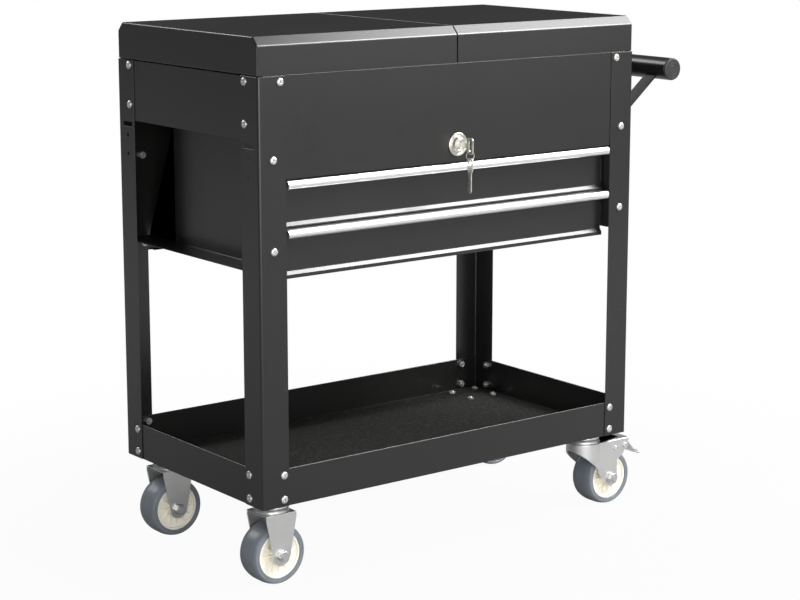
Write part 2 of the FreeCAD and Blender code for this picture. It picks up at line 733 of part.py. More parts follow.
def make_rigid_forks():
    for name, y in (("front", CASTER_Y), ("rear", FRAME_DEPTH - CASTER_Y)):
        x = CASTER_X
        y0, y1 = y - FORK_HALF, y + FORK_HALF
        shell = box(x - FORK_HALF, x + FORK_HALF, y0, y1, 20, FORK_TOP)
        shell = shell.cut(box(x - 50, x + 50, y0 + FORK_SHEET, y1 - FORK_SHEET, 0, FORK_TOP - FORK_SHEET))
        foot_radius = 15.0
        outline = side_outline(
            [
                (x - FORK_HALF, FORK_TOP),
                (x - FORK_HALF, FORK_TOP - 8),
                (x - foot_radius, WHEEL_RADIUS),
                (x + foot_radius, WHEEL_RADIUS),
                (x + FORK_HALF, FORK_TOP - 8),
                (x + FORK_HALF, FORK_TOP),
            ],
            x, WHEEL_RADIUS, foot_radius, y0 - 1, 2 * FORK_HALF + 2,
        )
        fork = fuse([shell.common(outline), crown(x, y, RACE_TOP, None)])
        fork = fork.cut(rod(AXLE_BORE, vec(x, y0 - 5, WHEEL_RADIUS), vec(0, 1, 0), 80))
        export("rigid_fork_" + name, fork)


def axle(x, y):
    """Wheel bolt with its nut."""
    y0, y1 = y - FORK_HALF, y + FORK_HALF
    head = hexagon(15.0, vec(x, y1, WHEEL_RADIUS), vec(0, 1, 0), 6.0)
    bolt = fuse([rod(AXLE_RADIUS, vec(x, y0 - 8, WHEEL_RADIUS), vec(0, 1, 0), 2 * FORK_HALF + 9), head])
    nut = hex_nut(vec(x, y0, WHEEL_RADIUS), vec(0, -1, 0), 15.0, 7.0, AXLE_BORE)
    return [bolt, nut]


def make_wheel(name, x, y):
    centre = vec(x, y, WHEEL_RADIUS)
    half = WHEEL_WIDTH / 2.0
    edge = WHEEL_RADIUS - TREAD_CROWN
    side = [(HUB_RADIUS, half), (edge - 1.4, half), (edge, half - 1.4)]
    flat = 0.3
    for share in (0.8, 0.55, flat):
        drop = TREAD_CROWN * ((share - flat) / (1.0 - flat)) ** 2
        side.append((WHEEL_RADIUS - drop, half * share))
    profile = side + [(r, -h) for r, h in side[::-1]]
    export(name + "_tyre", spun(profile, centre, vec(0, 1, 0)))

    rim, web_out, web_in, boss = 18.0, 16.0, 10.0, 23.4
    hub_in = HUB_RADIUS - 3.5
    half = [
        (AXLE_BORE, boss),
        (9.0, boss),
        (10.0, web_in),
        (hub_in, web_out),
        (hub_in, rim),
        (HUB_RADIUS - 0.02, rim),
    ]
    profile = half + [(r, -h) for r, h in half[::-1]]
    hub = spun(profile, centre, vec(0, 1, 0))
    ribs = []
    for side in (-1, 1):
        outline = [
            (8.5, web_in - 1),
            (8.5, 20.0),
            (12.0, 19.0),
            (hub_in + 0.5, web_out + 0.6),
            (hub_in + 0.5, web_out - 1),
        ]
        wedge = prism(outline, "Y", -0.8, 1.6)
        wedge = wedge if side > 0 else wedge.mirror(vec(0, 0, 0), vec(0, 0, 1))
        for k in range(12):
            rib = wedge.copy()
            rib.rotate(vec(0, 0, 0), vec(0, 0, 1), 30.0 * k)
            ribs.append(aimed_from(rib, centre))
    export(name + "_hub", fuse([hub] + ribs))


def aimed_from(shape, centre):
    """Stand a shape, built around the origin's Z axis, on the wheel's axis."""
    turned = shape.copy()
    turned.rotate(vec(0, 0, 0), vec(1, 0, 0), -90)
    turned.translate(centre)
    return turned


def swivel_fork(x, y):
    round_radius = 28.5
    hood_end = x + HOOD_LENGTH
    low = 20.0
    plan = fuse([
        rod(round_radius, vec(x, y, low), vec(0, 0, 1), FORK_TOP - low),
        box(x, hood_end, y - FORK_HALF, y + FORK_HALF, low, FORK_TOP),
    ])
    high = FORK_TOP - FORK_SHEET
    hollow = fuse([
        rod(round_radius - FORK_SHEET, vec(x, y, low - 1), vec(0, 0, 1), high - low + 1),
        box(x, hood_end + 5, y - FORK_HALF + FORK_SHEET, y + FORK_HALF - FORK_SHEET, low - 1, high),
    ])
    foot_radius = 13.5
    wheel_x = x + CASTER_OFFSET
    outline = side_outline(
        [
            (x - 30, FORK_TOP + 1),
            (x - 30, 97),
            (x - 13, 83),
            (x + 7.5, 65),
            (x + 15, 50),
            (wheel_x - foot_radius, WHEEL_RADIUS),
            (wheel_x + foot_radius, WHEEL_RADIUS),
            (x + 50.5, 73),
            (x + 64, 82),
            (hood_end, 103),
            (hood_end, FORK_TOP + 1),
        ],
        wheel_x, WHEEL_RADIUS, foot_radius, y - 40, 80,
    )
    fork = plan.cut(hollow).common(outline)
    fork = fuse([fork, crown(x, y, RACE_TOP, None)])
    fork = fork.cut(rod(PIN_RADIUS + 0.06, vec(x, y, 90), vec(0, 0, 1), 40))
    fork = fork.cut(rod(AXLE_BORE, vec(wheel_x, y - 40, WHEEL_RADIUS), vec(0, 1, 0), 80))
    fork = fork.cut(box(x + 40, x + 62, y - 15, y + 15, high - 1, FORK_TOP + 1))
    pin_hole = rod(BRAKE_PIN_RADIUS + 0.06, vec(x + BRAKE_PIN_X, y - 40, BRAKE_PIN_Z), vec(0, 1, 0), 80)
    rivet_x, rivet_z, rivet_radius, rivet_height = x + 47.0, 93.0, 4.0, 1.8
    rivets = []
    for side in (-1, 1):
        middle = y + side * (FORK_HALF + 1.4)
        foot = vec(rivet_x, middle - rivet_height / 2.0, rivet_z)
        rivets.append(rod(rivet_radius, foot, vec(0, 1, 0), rivet_height))
    return fuse([fork.cut(pin_hole)] + rivets)


def brake_pedal(x, y):
    """Foot lever on a pin through the cheeks, with a shoe that comes down on the tyre."""
    pin_x, pin_z = x + BRAKE_PIN_X, BRAKE_PIN_Z
    line = [
        (x + 50, 97.5),
        (pin_x + 4, 101),
        (pin_x + 13, 98),
        (pin_x + 30, 79),
        (pin_x + 40, 75.5),
    ]
    plate = prism(ribbon(line[::-1], 2.5), "Y", y - 20, 40)
    ears = [
        prism([(pin_x - 8, 88), (pin_x + 8, 90), (pin_x + 12, 98), (pin_x + 4, 101), (pin_x - 18, 98)],
              "Y", y + side * 20 - (2.5 if side > 0 else 0), 2.5)
        for side in (-1, 1)
    ]
    stand = FORK_HALF + 1.4
    pin = rod(BRAKE_PIN_RADIUS, vec(pin_x, y - stand, pin_z), vec(0, 1, 0), 2 * stand)
    heads = []
    for side in (-1, 1):
        middle = y + side * (FORK_HALF + 1.3)
        heads.append(rod(4.6, vec(pin_x, middle - 1.1, pin_z), vec(0, 1, 0), 2.2))
    return fuse([plate] + ears + [pin] + heads)


def make_casters():
    make_plates()
    make_rigid_forks()
    rigid = []
    for x, y, swivels in caster_centres():
        end = "front" if y < FRAME_DEPTH / 2 else "rear"
        if swivels:
            export("swivel_fork_" + end, swivel_fork(x, y))
            export("swivel_axle_" + end, Part.makeCompound(axle(x + CASTER_OFFSET, y)))
            export("brake_pedal_" + end, brake_pedal(x, y))
            make_wheel("swivel_wheel_" + end, x + CASTER_OFFSET, y)
        else:
            rigid += axle(x, y)
            make_wheel("rigid_wheel_" + end, x, y)
    export("rigid_axles", Part.makeCompound(rigid))


def make_fasteners():
    places = ALL_BOLTS + bracket_bolt_places()
    bolts = [pan_bolt(place, outward, stack + NUT_HEIGHT + 1.5) for place, outward, stack in places]
    export("frame_bolts", Part.makeCompound(bolts))
    nuts = [hex_nut(place - outward * stack, outward * -1.0) for place, outward, stack in places]
    up = vec(0, 0, 1)
    seat = LEG_BOTTOM + SHEET
    grip = seat - PLATE_BOTTOM + NUT_HEIGHT + 1.5
    below = [pan_bolt(vec(p.x, p.y, PLATE_BOTTOM), up * -1.0, grip) for p in caster_bolt_places()]
    export("caster_bolts", Part.makeCompound(below))
    nuts += [hex_nut(vec(p.x, p.y, seat), up) for p in caster_bolt_places()]
    nuts.append(hex_nut(vec(LOCK_X, 2 * SHEET, LOCK_Z), vec(0, 1, 0), 25.0, 4.0, 9.6))
    export("nuts", Part.makeCompound(nuts))


os.makedirs("parts", exist_ok=True)
make_legs()
make_tray()
make_chest()
make_housing()
make_lids()
make_drawers()
make_lock()
make_keys()
make_handle()
make_casters()
make_fasteners()
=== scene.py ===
import json
import math

import bmesh
import bpy
from mathutils import Matrix, Vector
from mathutils.bvhtree import BVHTree

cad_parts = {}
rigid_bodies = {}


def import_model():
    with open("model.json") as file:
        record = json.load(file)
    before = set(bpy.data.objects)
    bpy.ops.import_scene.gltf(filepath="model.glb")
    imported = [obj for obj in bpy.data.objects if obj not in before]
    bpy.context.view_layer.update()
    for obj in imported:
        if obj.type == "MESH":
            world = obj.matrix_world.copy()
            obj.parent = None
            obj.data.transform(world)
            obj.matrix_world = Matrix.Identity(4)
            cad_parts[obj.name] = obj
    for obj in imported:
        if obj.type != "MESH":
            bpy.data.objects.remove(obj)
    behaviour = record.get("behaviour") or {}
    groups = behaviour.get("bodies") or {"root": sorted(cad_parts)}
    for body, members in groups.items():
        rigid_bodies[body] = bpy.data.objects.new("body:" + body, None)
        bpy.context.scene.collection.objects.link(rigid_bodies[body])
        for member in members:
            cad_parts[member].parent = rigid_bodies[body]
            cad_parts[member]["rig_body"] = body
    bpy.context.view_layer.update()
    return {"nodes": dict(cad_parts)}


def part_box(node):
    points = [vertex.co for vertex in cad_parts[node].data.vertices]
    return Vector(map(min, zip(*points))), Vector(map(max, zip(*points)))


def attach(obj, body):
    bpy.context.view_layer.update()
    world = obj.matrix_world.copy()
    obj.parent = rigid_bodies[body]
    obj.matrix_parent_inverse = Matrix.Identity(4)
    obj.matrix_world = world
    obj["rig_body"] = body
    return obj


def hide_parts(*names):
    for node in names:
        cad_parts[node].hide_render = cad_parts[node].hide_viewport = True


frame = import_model()

# A rolling tool cabinet of black painted sheet steel: two sliding lids, two drawers, a tray
# with a mat, a push handle and four casters. Pieces are drawn in millimetres from the outer
# corner of the front left leg, X to the right, Y to the back, and at() puts them in the frame.

MM = 0.001
LEG_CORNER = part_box("leg_front_left")[0]
FRAME_WIDTH = 700.0
FRAME_DEPTH = 379.0


def at(x, y, z):
    return Vector((LEG_CORNER.x + x * MM, LEG_CORNER.y + y * MM, z * MM))


# Camera

CAMERA_PLACE = (-1.94345, -2.5155, 1.0097)
CAMERA_YAW = math.radians(-37.436)
CAMERA_TILT = math.radians(90.0 - 11.023)
CAMERA_LENS = 92.96
CAMERA_SHIFT = -0.03


def new_object(name, data):
    thing = bpy.data.objects.new(name, data)
    bpy.context.scene.collection.objects.link(thing)
    return thing


def set_camera():
    lens = bpy.data.cameras.new("view")
    lens.lens = CAMERA_LENS
    lens.sensor_width = 36.0
    lens.shift_y = CAMERA_SHIFT
    lens.clip_end = 100.0
    camera = new_object("view", lens)
    camera.location = CAMERA_PLACE
    camera.rotation_euler = (CAMERA_TILT, 0.0, CAMERA_YAW)
    bpy.context.scene.camera = camera
    bpy.context.scene.view_settings.view_transform = "Standard"


# Shader maths


class Wire:
    """A socket of a node tree that can be used in a sum."""

    def __init__(self, recipe, socket):
        self.recipe = recipe
        self.socket = socket

    def sum(self, operation, *others):
        values = dict(enumerate((self,) + others))
        return self.recipe.make("ShaderNodeMath", {"operation": operation}, values)

    def __add__(self, other):
        return self.sum("ADD", other)

    __radd__ = __add__

    def __mul__(self, other):
        return self.sum("MULTIPLY", other)

    __rmul__ = __mul__

    def __rsub__(self, other):
        return self.recipe.make("ShaderNodeMath", {"operation": "SUBTRACT"}, {0: other, 1: self})

    def __truediv__(self, other):
        return self.sum("DIVIDE", other)

    def power(self, other):
        return self.sum("POWER", other)

    def over(self, edge):
        return self.sum("GREATER_THAN", edge)


class Recipe:
    """A node tree that is written one node at a time."""

    def __init__(self, tree):
        self.tree = tree

    def link(self, wire, node, key):
        self.tree.links.new(wire.socket, node.inputs[key])

    def make(self, kind, settings=None, sockets=None, give=0):
        """Add a node, set its settings first and then its sockets, and give back one output."""
        node = self.tree.nodes.new(kind)
        for key, value in (settings or {}).items():
            if key == "stops":
                self.set_stops(node.color_ramp, value)
            else:
                setattr(node, key, value)
        for key, value in (sockets or {}).items():
            if isinstance(value, Wire):
                self.link(value, node, key)
            else:
                node.inputs[key].default_value = value
        return Wire(self, node.outputs[give])

    @staticmethod
    def set_stops(ramp, stops):
        while len(ramp.elements) < len(stops):
            ramp.elements.new(1.0)
        for element, (place, colour) in zip(ramp.elements, stops):
            element.position = place
            element.color = colour

    def colours(self, amount, first, second):
        settings = {"data_type": "RGBA", "blend_type": "MIX"}
        return self.make("ShaderNodeMix", settings, {0: amount, 6: first, 7: second}, 2)


class Finish(Recipe):
    """A material with a Principled shader, read from the piece's own coordinates."""

    def __init__(self, name, **constants):
        self.material = bpy.data.materials.new(name)
        self.material.use_nodes = True
        super().__init__(self.material.node_tree)
        self.shader = self.tree.nodes["Principled BSDF"]
        for key, value in constants.items():
            self.shader.inputs[key.replace("_", " ")].default_value = value
        self.place = self.make("ShaderNodeTexCoord", give="Object")

    def stretched(self, x, y, z):
        return self.make("ShaderNodeMapping", None, {"Vector": self.place, "Scale": (x, y, z)})

    def noise(self, scale, detail=2.0, rough=0.5, where=None):
        sockets = {"Vector": where or self.place, "Scale": scale, "Detail": detail, "Roughness": rough}
        return self.make("ShaderNodeTexNoise", None, sockets)

    def feed(self, **wires):
        for key, wire in wires.items():
            self.link(wire, self.shader, key.replace("_", " "))

    def bumps(self, *layers):
        """Raise the surface by each (height, strength in metres) in turn."""
        normal = None
        for height, distance in layers:
            sockets = {"Height": height, "Distance": distance, "Strength": 1.0}
            if normal:
                sockets["Normal"] = normal
            normal = self.make("ShaderNodeBump", None, sockets)
        self.feed(Normal=normal)


def grey(level):
    return (level, level, level, 1.0)


# Finishes


def black_powder_coat():
    paint = Finish("black powder coat", IOR=1.6)
    drift = paint.noise(7.0, 3.0)
    peel = paint.noise(420.0, 1.0)
    grain = paint.noise(1500.0)
    rubs = paint.noise(60.0, 4.0, 0.7, paint.stretched(1.0, 1.0, 0.12))
    colour = paint.colours(drift, (0.0065, 0.0065, 0.0062, 1.0), (0.0095, 0.0095, 0.0090, 1.0))
    paint.feed(Base_Color=colour, Roughness=0.23 + 0.05 * drift + 0.05 * rubs + 0.02 * grain)
    paint.bumps((peel, 0.00002), (grain, 0.000004))
    return paint.material


def dark_inside_paint():
    paint = Finish("black paint inside", IOR=1.5)
    drift = paint.noise(9.0, 3.0)
    grain = paint.noise(900.0)
    colour = paint.colours(drift, (0.013, 0.013, 0.013, 1.0), (0.020, 0.020, 0.019, 1.0))
    paint.feed(Base_Color=colour, Roughness=0.38 + 0.10 * drift)
    paint.bumps((grain, 0.00001))
    return paint.material


def bright_chrome():
    chrome = Finish("bright chrome", Metallic=1.0)
    clouds = chrome.noise(18.0)
    hairlines = chrome.noise(160.0, 2.0, 0.5, chrome.stretched(0.02, 4.0, 4.0))
    colour = chrome.colours(clouds, (0.86, 0.87, 0.88, 1.0), (0.93, 0.93, 0.93, 1.0))
    chrome.feed(Base_Color=colour, Roughness=0.31 + 0.02 * hairlines)
    return chrome.material


def satin_nickel():
    nickel = Finish("satin nickel", Metallic=1.0)
    clouds = nickel.noise(90.0, 3.0)
    grain = nickel.noise(1200.0)
    colour = nickel.colours(clouds, (0.66, 0.645, 0.59, 1.0), (0.74, 0.725, 0.67, 1.0))
    nickel.feed(Base_Color=colour, Roughness=0.30 + 0.10 * clouds)
    nickel.bumps((grain, 0.000002))
    return nickel.material


def zinc_plating():
    zinc = Finish("zinc plating", Metallic=1.0)
    clouds = zinc.noise(35.0, 4.0, 0.6)
    grain = zinc.noise(1400.0)
    rolled = zinc.noise(260.0, 3.0, 0.6, zinc.stretched(1.0, 1.0, 0.08))
    colour = zinc.colours(clouds, (0.74, 0.74, 0.74, 1.0), (0.83, 0.83, 0.82, 1.0))
    zinc.feed(Base_Color=colour, Roughness=0.34 + 0.06 * clouds + 0.03 * rolled)
    zinc.bumps((rolled, 0.0000006), (grain, 0.0000002))
    return zinc.material


def bolt_plating():
    plate = Finish("bright zinc bolts", Metallic=1.0)
    clouds = plate.noise(300.0)
    colour = plate.colours(clouds, (0.58, 0.58, 0.58, 1.0), (0.68, 0.68, 0.67, 1.0))
    plate.feed(Base_Color=colour, Roughness=0.42 + 0.10 * clouds)
    plate.bumps((plate.noise(900.0), 0.000002))
    return plate.material


def grey_tyre():
    tyre = Finish("grey tyre rubber")
    mottle = tyre.noise(60.0, 4.0, 0.6)
    grain = tyre.noise(1100.0, 3.0)
    scuffs = tyre.noise(200.0, 4.0, 0.8, tyre.stretched(1.0, 0.15, 1.0))
    clean = tyre.colours(mottle, (0.160, 0.181, 0.207, 1.0), (0.195, 0.216, 0.243, 1.0))
    colour = tyre.colours(scuffs.over(0.64) * 0.18, clean, (0.26, 0.28, 0.30, 1.0))
    tyre.feed(Base_Color=colour, Roughness=0.30 + 0.12 * mottle)
    tyre.bumps((grain, 0.00002), (mottle, 0.00006))
    return tyre.material


def ivory_nylon():
    nylon = Finish("ivory nylon hub")
    flow = nylon.noise(40.0, 3.0)
    grain = nylon.noise(1600.0)
    colour = nylon.colours(flow, (0.92, 0.87, 0.75, 1.0), (0.95, 0.915, 0.82, 1.0))
    nylon.feed(Base_Color=colour, Roughness=0.34 + 0.14 * flow)
    nylon.bumps((grain, 0.00001))
    return nylon.material


def mat_rubber():
    rubber = Finish("mat rubber", Specular_IOR_Level=0.2)
    dust = rubber.noise(14.0, 5.0, 0.65)
    grain = rubber.noise(1500.0, 3.0)
    fleck = rubber.noise(230.0, 2.0, 0.6, rubber.stretched(1.0, 0.5, 1.0))
    colour = rubber.colours(dust, (0.007, 0.007, 0.0065, 1.0), (0.014, 0.014, 0.013, 1.0))
    flecked = rubber.colours(fleck.power(4.0) * 2.6, colour, (0.045, 0.045, 0.042, 1.0))
    speckled = rubber.colours(grain.over(0.62) * 0.3, flecked, (0.060, 0.060, 0.056, 1.0))
    rubber.feed(Base_Color=speckled, Roughness=0.66 + 0.20 * dust)
    rubber.bumps((fleck, 0.0006), (grain, 0.0001))
    return rubber.material


def black_cap_plastic():
    plastic = Finish("black cap plastic")
    drift = plastic.noise(50.0, 3.0)
    grain = plastic.noise(1300.0, 3.0)
    colour = plastic.colours(drift, (0.018, 0.018, 0.018, 1.0), (0.028, 0.028, 0.027, 1.0))
    plastic.feed(Base_Color=colour, Roughness=0.46 + 0.14 * drift)
    plastic.bumps((grain, 0.00003))
    return plastic.material


set_camera()
PAINT = black_powder_coat()
INSIDE = dark_inside_paint()
CHROME = bright_chrome()
NICKEL = satin_nickel()
ZINC = zinc_plating()
BOLT = bolt_plating()
TYRE = grey_tyre()
NYLON = ivory_nylon()
RUBBER = mat_rubber()
CAP = black_cap_plastic()


# Studio

FLOOR_REACH = 30.0
SHADOW_FADE = (0.4, 1.3)
# Distances, in metres out from the floor's middle, over which the floor's painted shade round the cabinet
# fades out.
FLOOR_PAINTED_SHADE_FADE = (1.0, 5.0)


def studio_floor():
    """Pale floor that the camera sees as white, but for the cabinet's faint shadow; its own colour and its
    glow for reflections carry painted shade near the cabinet.
    """
    mesh = bpy.data.meshes.new("floor")
    corners = [(x * FLOOR_REACH, y * FLOOR_REACH, 0) for x, y in ((-1, -1), (1, -1), (1, 1), (-1, 1))]
    mesh.from_pydata(corners, [], [(0, 1, 2, 3)])
    floor = new_object("floor", mesh)
    material = bpy.data.materials.new("pale floor")
    material.use_nodes = True
    recipe = Recipe(material.node_tree)
    recipe.tree.nodes.remove(recipe.tree.nodes["Principled BSDF"])
    paper = recipe.make("ShaderNodeTexNoise", None, {"Scale": 3.0})
    glow = recipe.make("ShaderNodeEmission", None, {"Color": grey(1.0), "Strength": 1.0})
    place = recipe.make("ShaderNodeTexCoord", give="Object")
    away = recipe.make("ShaderNodeVectorMath", {"operation": "LENGTH"}, {0: place}, "Value")
    fades = []
    for start, end in (SHADOW_FADE, FLOOR_PAINTED_SHADE_FADE):
        sockets = {"Value": away, "From Min": start, "From Max": end}
        fades.append(recipe.make("ShaderNodeMapRange", {"interpolation_type": "SMOOTHSTEP"}, sockets))
    far, painted_shade_fade = fades
    # Painted shade: the floor's own colour is darker within a metre of the cabinet and grows paler out to
    # five metres, so that it throws less light back onto the cabinet.
    painted_shade_tint = recipe.colours(0.1 * paper + 0.9 * painted_shade_fade, grey(0.30), grey(0.62))
    lit = recipe.make("ShaderNodeBsdfDiffuse", None, {"Color": painted_shade_tint})
    rays = recipe.make("ShaderNodeLightPath")
    camera_ray = Wire(recipe, rays.socket.node.outputs["Is Camera Ray"])
    mirror_ray = Wire(recipe, rays.socket.node.outputs["Is Glossy Ray"])
    # Reflections see a faint painted glow on the floor, weakest near the cabinet and stronger farther out;
    # the camera sees the floor mostly as plain white glow.
    shown = camera_ray * (0.955 + 0.045 * far) + mirror_ray * (0.04 + 0.08 * painted_shade_fade)
    mix = recipe.make("ShaderNodeMixShader", None, {0: shown, 1: lit, 2: glow})
    recipe.link(mix, recipe.tree.nodes["Material Output"], "Surface")
    mesh.materials.append(material)


def studio_world():
    """White to the camera; to everything else a soft grey room that is darker near the floor line."""
    world = bpy.data.worlds.new("studio")
    world.use_nodes = True
    bpy.context.scene.world = world
    recipe = Recipe(world.node_tree)
    sky = recipe.make("ShaderNodeTexCoord", give="Generated")
    height = recipe.make("ShaderNodeSeparateXYZ", None, {0: sky}, "Z")
    depth = recipe.make("ShaderNodeSeparateXYZ", None, {0: sky}, "Y")
    stops = [(0.0, grey(0.03)), (0.30, grey(0.05)), (0.75, grey(0.24)), (1.0, grey(0.40))]
    dome = recipe.make("ShaderNodeValToRGB", {"stops": stops}, {0: height})
    room = dome + (0.5 - 0.5 * depth).power(2.0) * 0.14
    rays = recipe.make("ShaderNodeLightPath")
    camera_ray = Wire(recipe, rays.socket.node.outputs["Is Camera Ray"])
    through_ray = Wire(recipe, rays.socket.node.outputs["Is Transmission Ray"])
    seen = camera_ray.sum("MAXIMUM", through_ray)
    colour = recipe.colours(seen, room, grey(1.0))
    recipe.link(colour, recipe.tree.nodes["Background"], "Color")


def softbox(name, place, target, width, height, watts):
    lamp = bpy.data.lights.new(name, "AREA")
    lamp.shape = "RECTANGLE"
    lamp.size = width
    lamp.size_y = height
    lamp.energy = watts
    box = new_object(name, lamp)
    box.location = place
    box.rotation_euler = (Vector(target) - Vector(place)).to_track_quat("-Z", "Y").to_euler()


def light_the_studio():
    studio_floor()
    studio_world()
    softbox("overhead right softbox", (1.95, -0.45, 2.60), (0.2, -0.1, 0.6), 1.5, 1.5, 52.0)
    softbox("front right key", (1.65, -1.55, 2.45), (0.0, -0.1, 0.6), 1.35, 1.1, 112.0)
    softbox("front right panel", (2.2, -3.35, 1.3), (0.0, 0.0, 0.55), 2.0, 1.9, 15.0)
    softbox("low front fill", (-1.7, -3.7, 1.15), (-0.1, 0.0, 0.25), 4.0, 2.2, 120.0)
    softbox("rear left softbox", (-1.45, 2.45, 2.0), (-0.35, -0.1, 0.1), 1.0, 1.0, 21.0)
    softbox("rear top softbox", (-0.35, 2.45, 2.60), (0.3, 0.0, 0.7), 1.5, 0.8, 30.0)


light_the_studio()


# Mesh tools
SAME_PLACE = 1e-6
BESIDE_EDGE = 0.0001
FLAT_ANGLE = math.radians(0.8)
FOLD_ANGLE = math.radians(28)
FOLD_SHARE = 0.40
LEAST_FOLD = 0.0001
LONGEST_REACH = 0.02
QUARTER = math.pi / 2
CIRCLE = 2.0 * math.pi


def finished(work, name):
    """The working mesh as a plain one."""
    mesh = bpy.data.meshes.new(name)
    work.to_mesh(mesh)
    work.free()
    return mesh


def closed_up(work, name):
    """The working mesh as a plain one, with its faces turned outwards."""
    bmesh.ops.recalc_face_normals(work, faces=work.faces)
    return finished(work, name)


def section_at(work, x, line):
    """The points of a line in Y and Z, at one X."""
    return [work.verts.new(at(x, p.x, p.y)) for p in line]


def arc(turn, steps):
    """Sine and cosine of the angles from nothing up to a turn, in radians."""
    angles = [turn * k / steps for k in range(steps + 1)]
    return [(math.sin(angle), math.cos(angle)) for angle in angles]


def ring_of(work, radii, height):
    """Points at equal angles about Z, each at its own radius, in millimetres."""
    ring = []
    for radius, (sine, cosine) in zip(radii, arc(CIRCLE, len(radii))):
        ring.append(work.verts.new((radius * MM * cosine, radius * MM * sine, height * MM)))
    return ring


def bridge(work, rows, closed=True):
    """Faces between neighbouring rows of points; a closed row runs back to its start."""
    for first, second in zip(rows, rows[1:]):
        count = len(first)
        for k in range(count if closed else count - 1):
            after = (k + 1) % count
            work.faces.new((first[k], second[k], second[after], first[after]))


def clean_copy(node):
    """A node's mesh as joined faces, ready for its folds to be rounded."""
    work = bmesh.new()
    work.from_mesh(frame["nodes"][node].data)
    bmesh.ops.remove_doubles(work, verts=work.verts, dist=SAME_PLACE)
    bmesh.ops.dissolve_limit(work, angle_limit=FLAT_ANGLE, verts=work.verts, edges=work.edges)
    return work


def room_at(edge, tree):
    """How far the metal, or the open air inside a corner, runs on from an edge."""
    middle = (edge.verts[0].co + edge.verts[1].co) / 2.0
    faces = [loop.face for loop in edge.link_loops]
    outward = faces[0].normal + faces[1].normal
    if outward.length < SAME_PLACE:
        return 0.0
    side = -1.0 if edge.is_convex else 1.0
    start = middle + outward.normalized() * side * BESIDE_EDGE
    reach = LONGEST_REACH
    for loop in edge.link_loops:
        along = loop.link_loop_next.vert.co - loop.vert.co
        inward = loop.face.normal.cross(along).normalized()
        hit = tree.ray_cast(start, inward, reach)
        if hit[0] is not None:
            reach = min(reach, hit[3])
    return reach


def round_edges(work, fold):
    """Give each sharp edge a bevel weight that suits the thickness there, up to the fold's radius."""
    tree = BVHTree.FromBMesh(work)
    layers = work.edges.layers.float
    weight = layers.get("bevel_weight_edge") or layers.new("bevel_weight_edge")
    for edge in work.edges:
        if len(edge.link_faces) != 2 or edge.calc_face_angle(0.0) < FOLD_ANGLE:
            continue
        if edge.calc_length() > LEAST_FOLD:
            edge[weight] = min(fold, max(LEAST_FOLD, FOLD_SHARE * room_at(edge, tree))) / fold


def shade(mesh, angle):
    """Smooth shading, sharp where two faces turn by more than the angle."""
    work = bmesh.new()
    work.from_mesh(mesh)
    for face in work.faces:
        face.smooth = True
    for edge in work.edges:
        edge.smooth = len(edge.link_faces) == 2 and edge.calc_face_angle(0.0) < math.radians(angle)
    work.to_mesh(mesh)
    work.free()


def baked(mesh, add_modifiers):
    """The mesh with its modifiers applied, as a plain mesh."""
    carrier = new_object("carrier", mesh)
    add_modifiers(carrier)
    result = bpy.data.meshes.new_from_object(carrier.evaluated_get(bpy.context.evaluated_depsgraph_get()))
    bpy.data.objects.remove(carrier)
    return result


def set_modifier(holder, kind, **settings):
    modifier = holder.modifiers.new(kind.lower(), kind)
    for key, value in settings.items():
        setattr(modifier, key, value)


def dress(name, mesh, finish, slot, *nodes):
    """A finished piece: its material, the nodes it stands for and the body that they ride on."""
    mesh = baked(mesh, lambda carrier: set_modifier(carrier, "WEIGHTED_NORMAL", keep_sharp=True, weight=60))
    mesh.name = name
    mesh.materials.clear()
    mesh.materials.append(finish)
    piece = new_object(name, mesh)
    body = frame["nodes"][nodes[0]]["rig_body"]
    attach(piece, body)
    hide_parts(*nodes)


def softened(node, fold, segments=2, crease=36.0):
    """The node's own shape with rolled folds and softened sheet edges."""
    work = clean_copy(node)
    round_edges(work, fold * MM)
    bevel = {"limit_method": "WEIGHT", "width": fold * MM, "segments": segments, "use_clamp_overlap": False}
    mesh = baked(finished(work, node), lambda carrier: set_modifier(carrier, "BEVEL", **bevel))
    shade(mesh, crease)
    return mesh


def rounded_piece(node, name, finish, slot, *rounding):
    dress(name, softened(node, *rounding), finish, slot, node)


def turned(profile, centre, axis, steps, closed=False):
    """Turn a line of (radius, height) points, in millimetres, round an axis that starts at centre."""
    work = bmesh.new()
    rings = []
    for radius, height in profile:
        if radius == 0:
            rings.append([work.verts.new((0, 0, height * MM))])
        else:
            rings.append(ring_of(work, [radius] * steps, height))
    if closed:
        rings.append(rings[0])
    for lower, upper in zip(rings, rings[1:]):
        for k in range(steps):
            after = (k + 1) % steps
            below = [lower[k % len(lower)], lower[after % len(lower)]]
            above = [upper[after % len(upper)], upper[k % len(upper)]]
            unique = list(dict.fromkeys(below + above))
            if len(unique) > 2:
                work.faces.new(unique)
    mesh = closed_up(work, "turned")
    aim(mesh, centre, axis)
    shade(mesh, 30.0)
    return mesh


def aim(mesh, centre, axis):
    """Stand a mesh drawn along +Z on an axis."""
    turn = Vector(axis).to_track_quat("Z", "Y").to_matrix().to_4x4()
    mesh.transform(Matrix.Translation(centre) @ turn)


def rounded_line(points, radii, steps=5):
    """A line through the points with an arc of its own radius at each inner point."""
    line = [Vector(points[0])]
    for before, here, after, radius in zip(points, points[1:], points[2:], radii):
        before, here, after = Vector(before), Vector(here), Vector(after)
        one, two = (before - here).normalized(), (after - here).normalized()
        half = one.angle(two) / 2.0
        run = radius / math.tan(half)
        centre = here + (one + two).normalized() * radius / math.sin(half)
        first, last = here + one * run - centre, here + two * run - centre
        for k in range(steps + 1):
            share = k / steps
            arm = first * (1.0 - share) + last * share
            line.append(centre + arm.normalized() * radius)
    line.append(Vector(points[-1]))
    return line


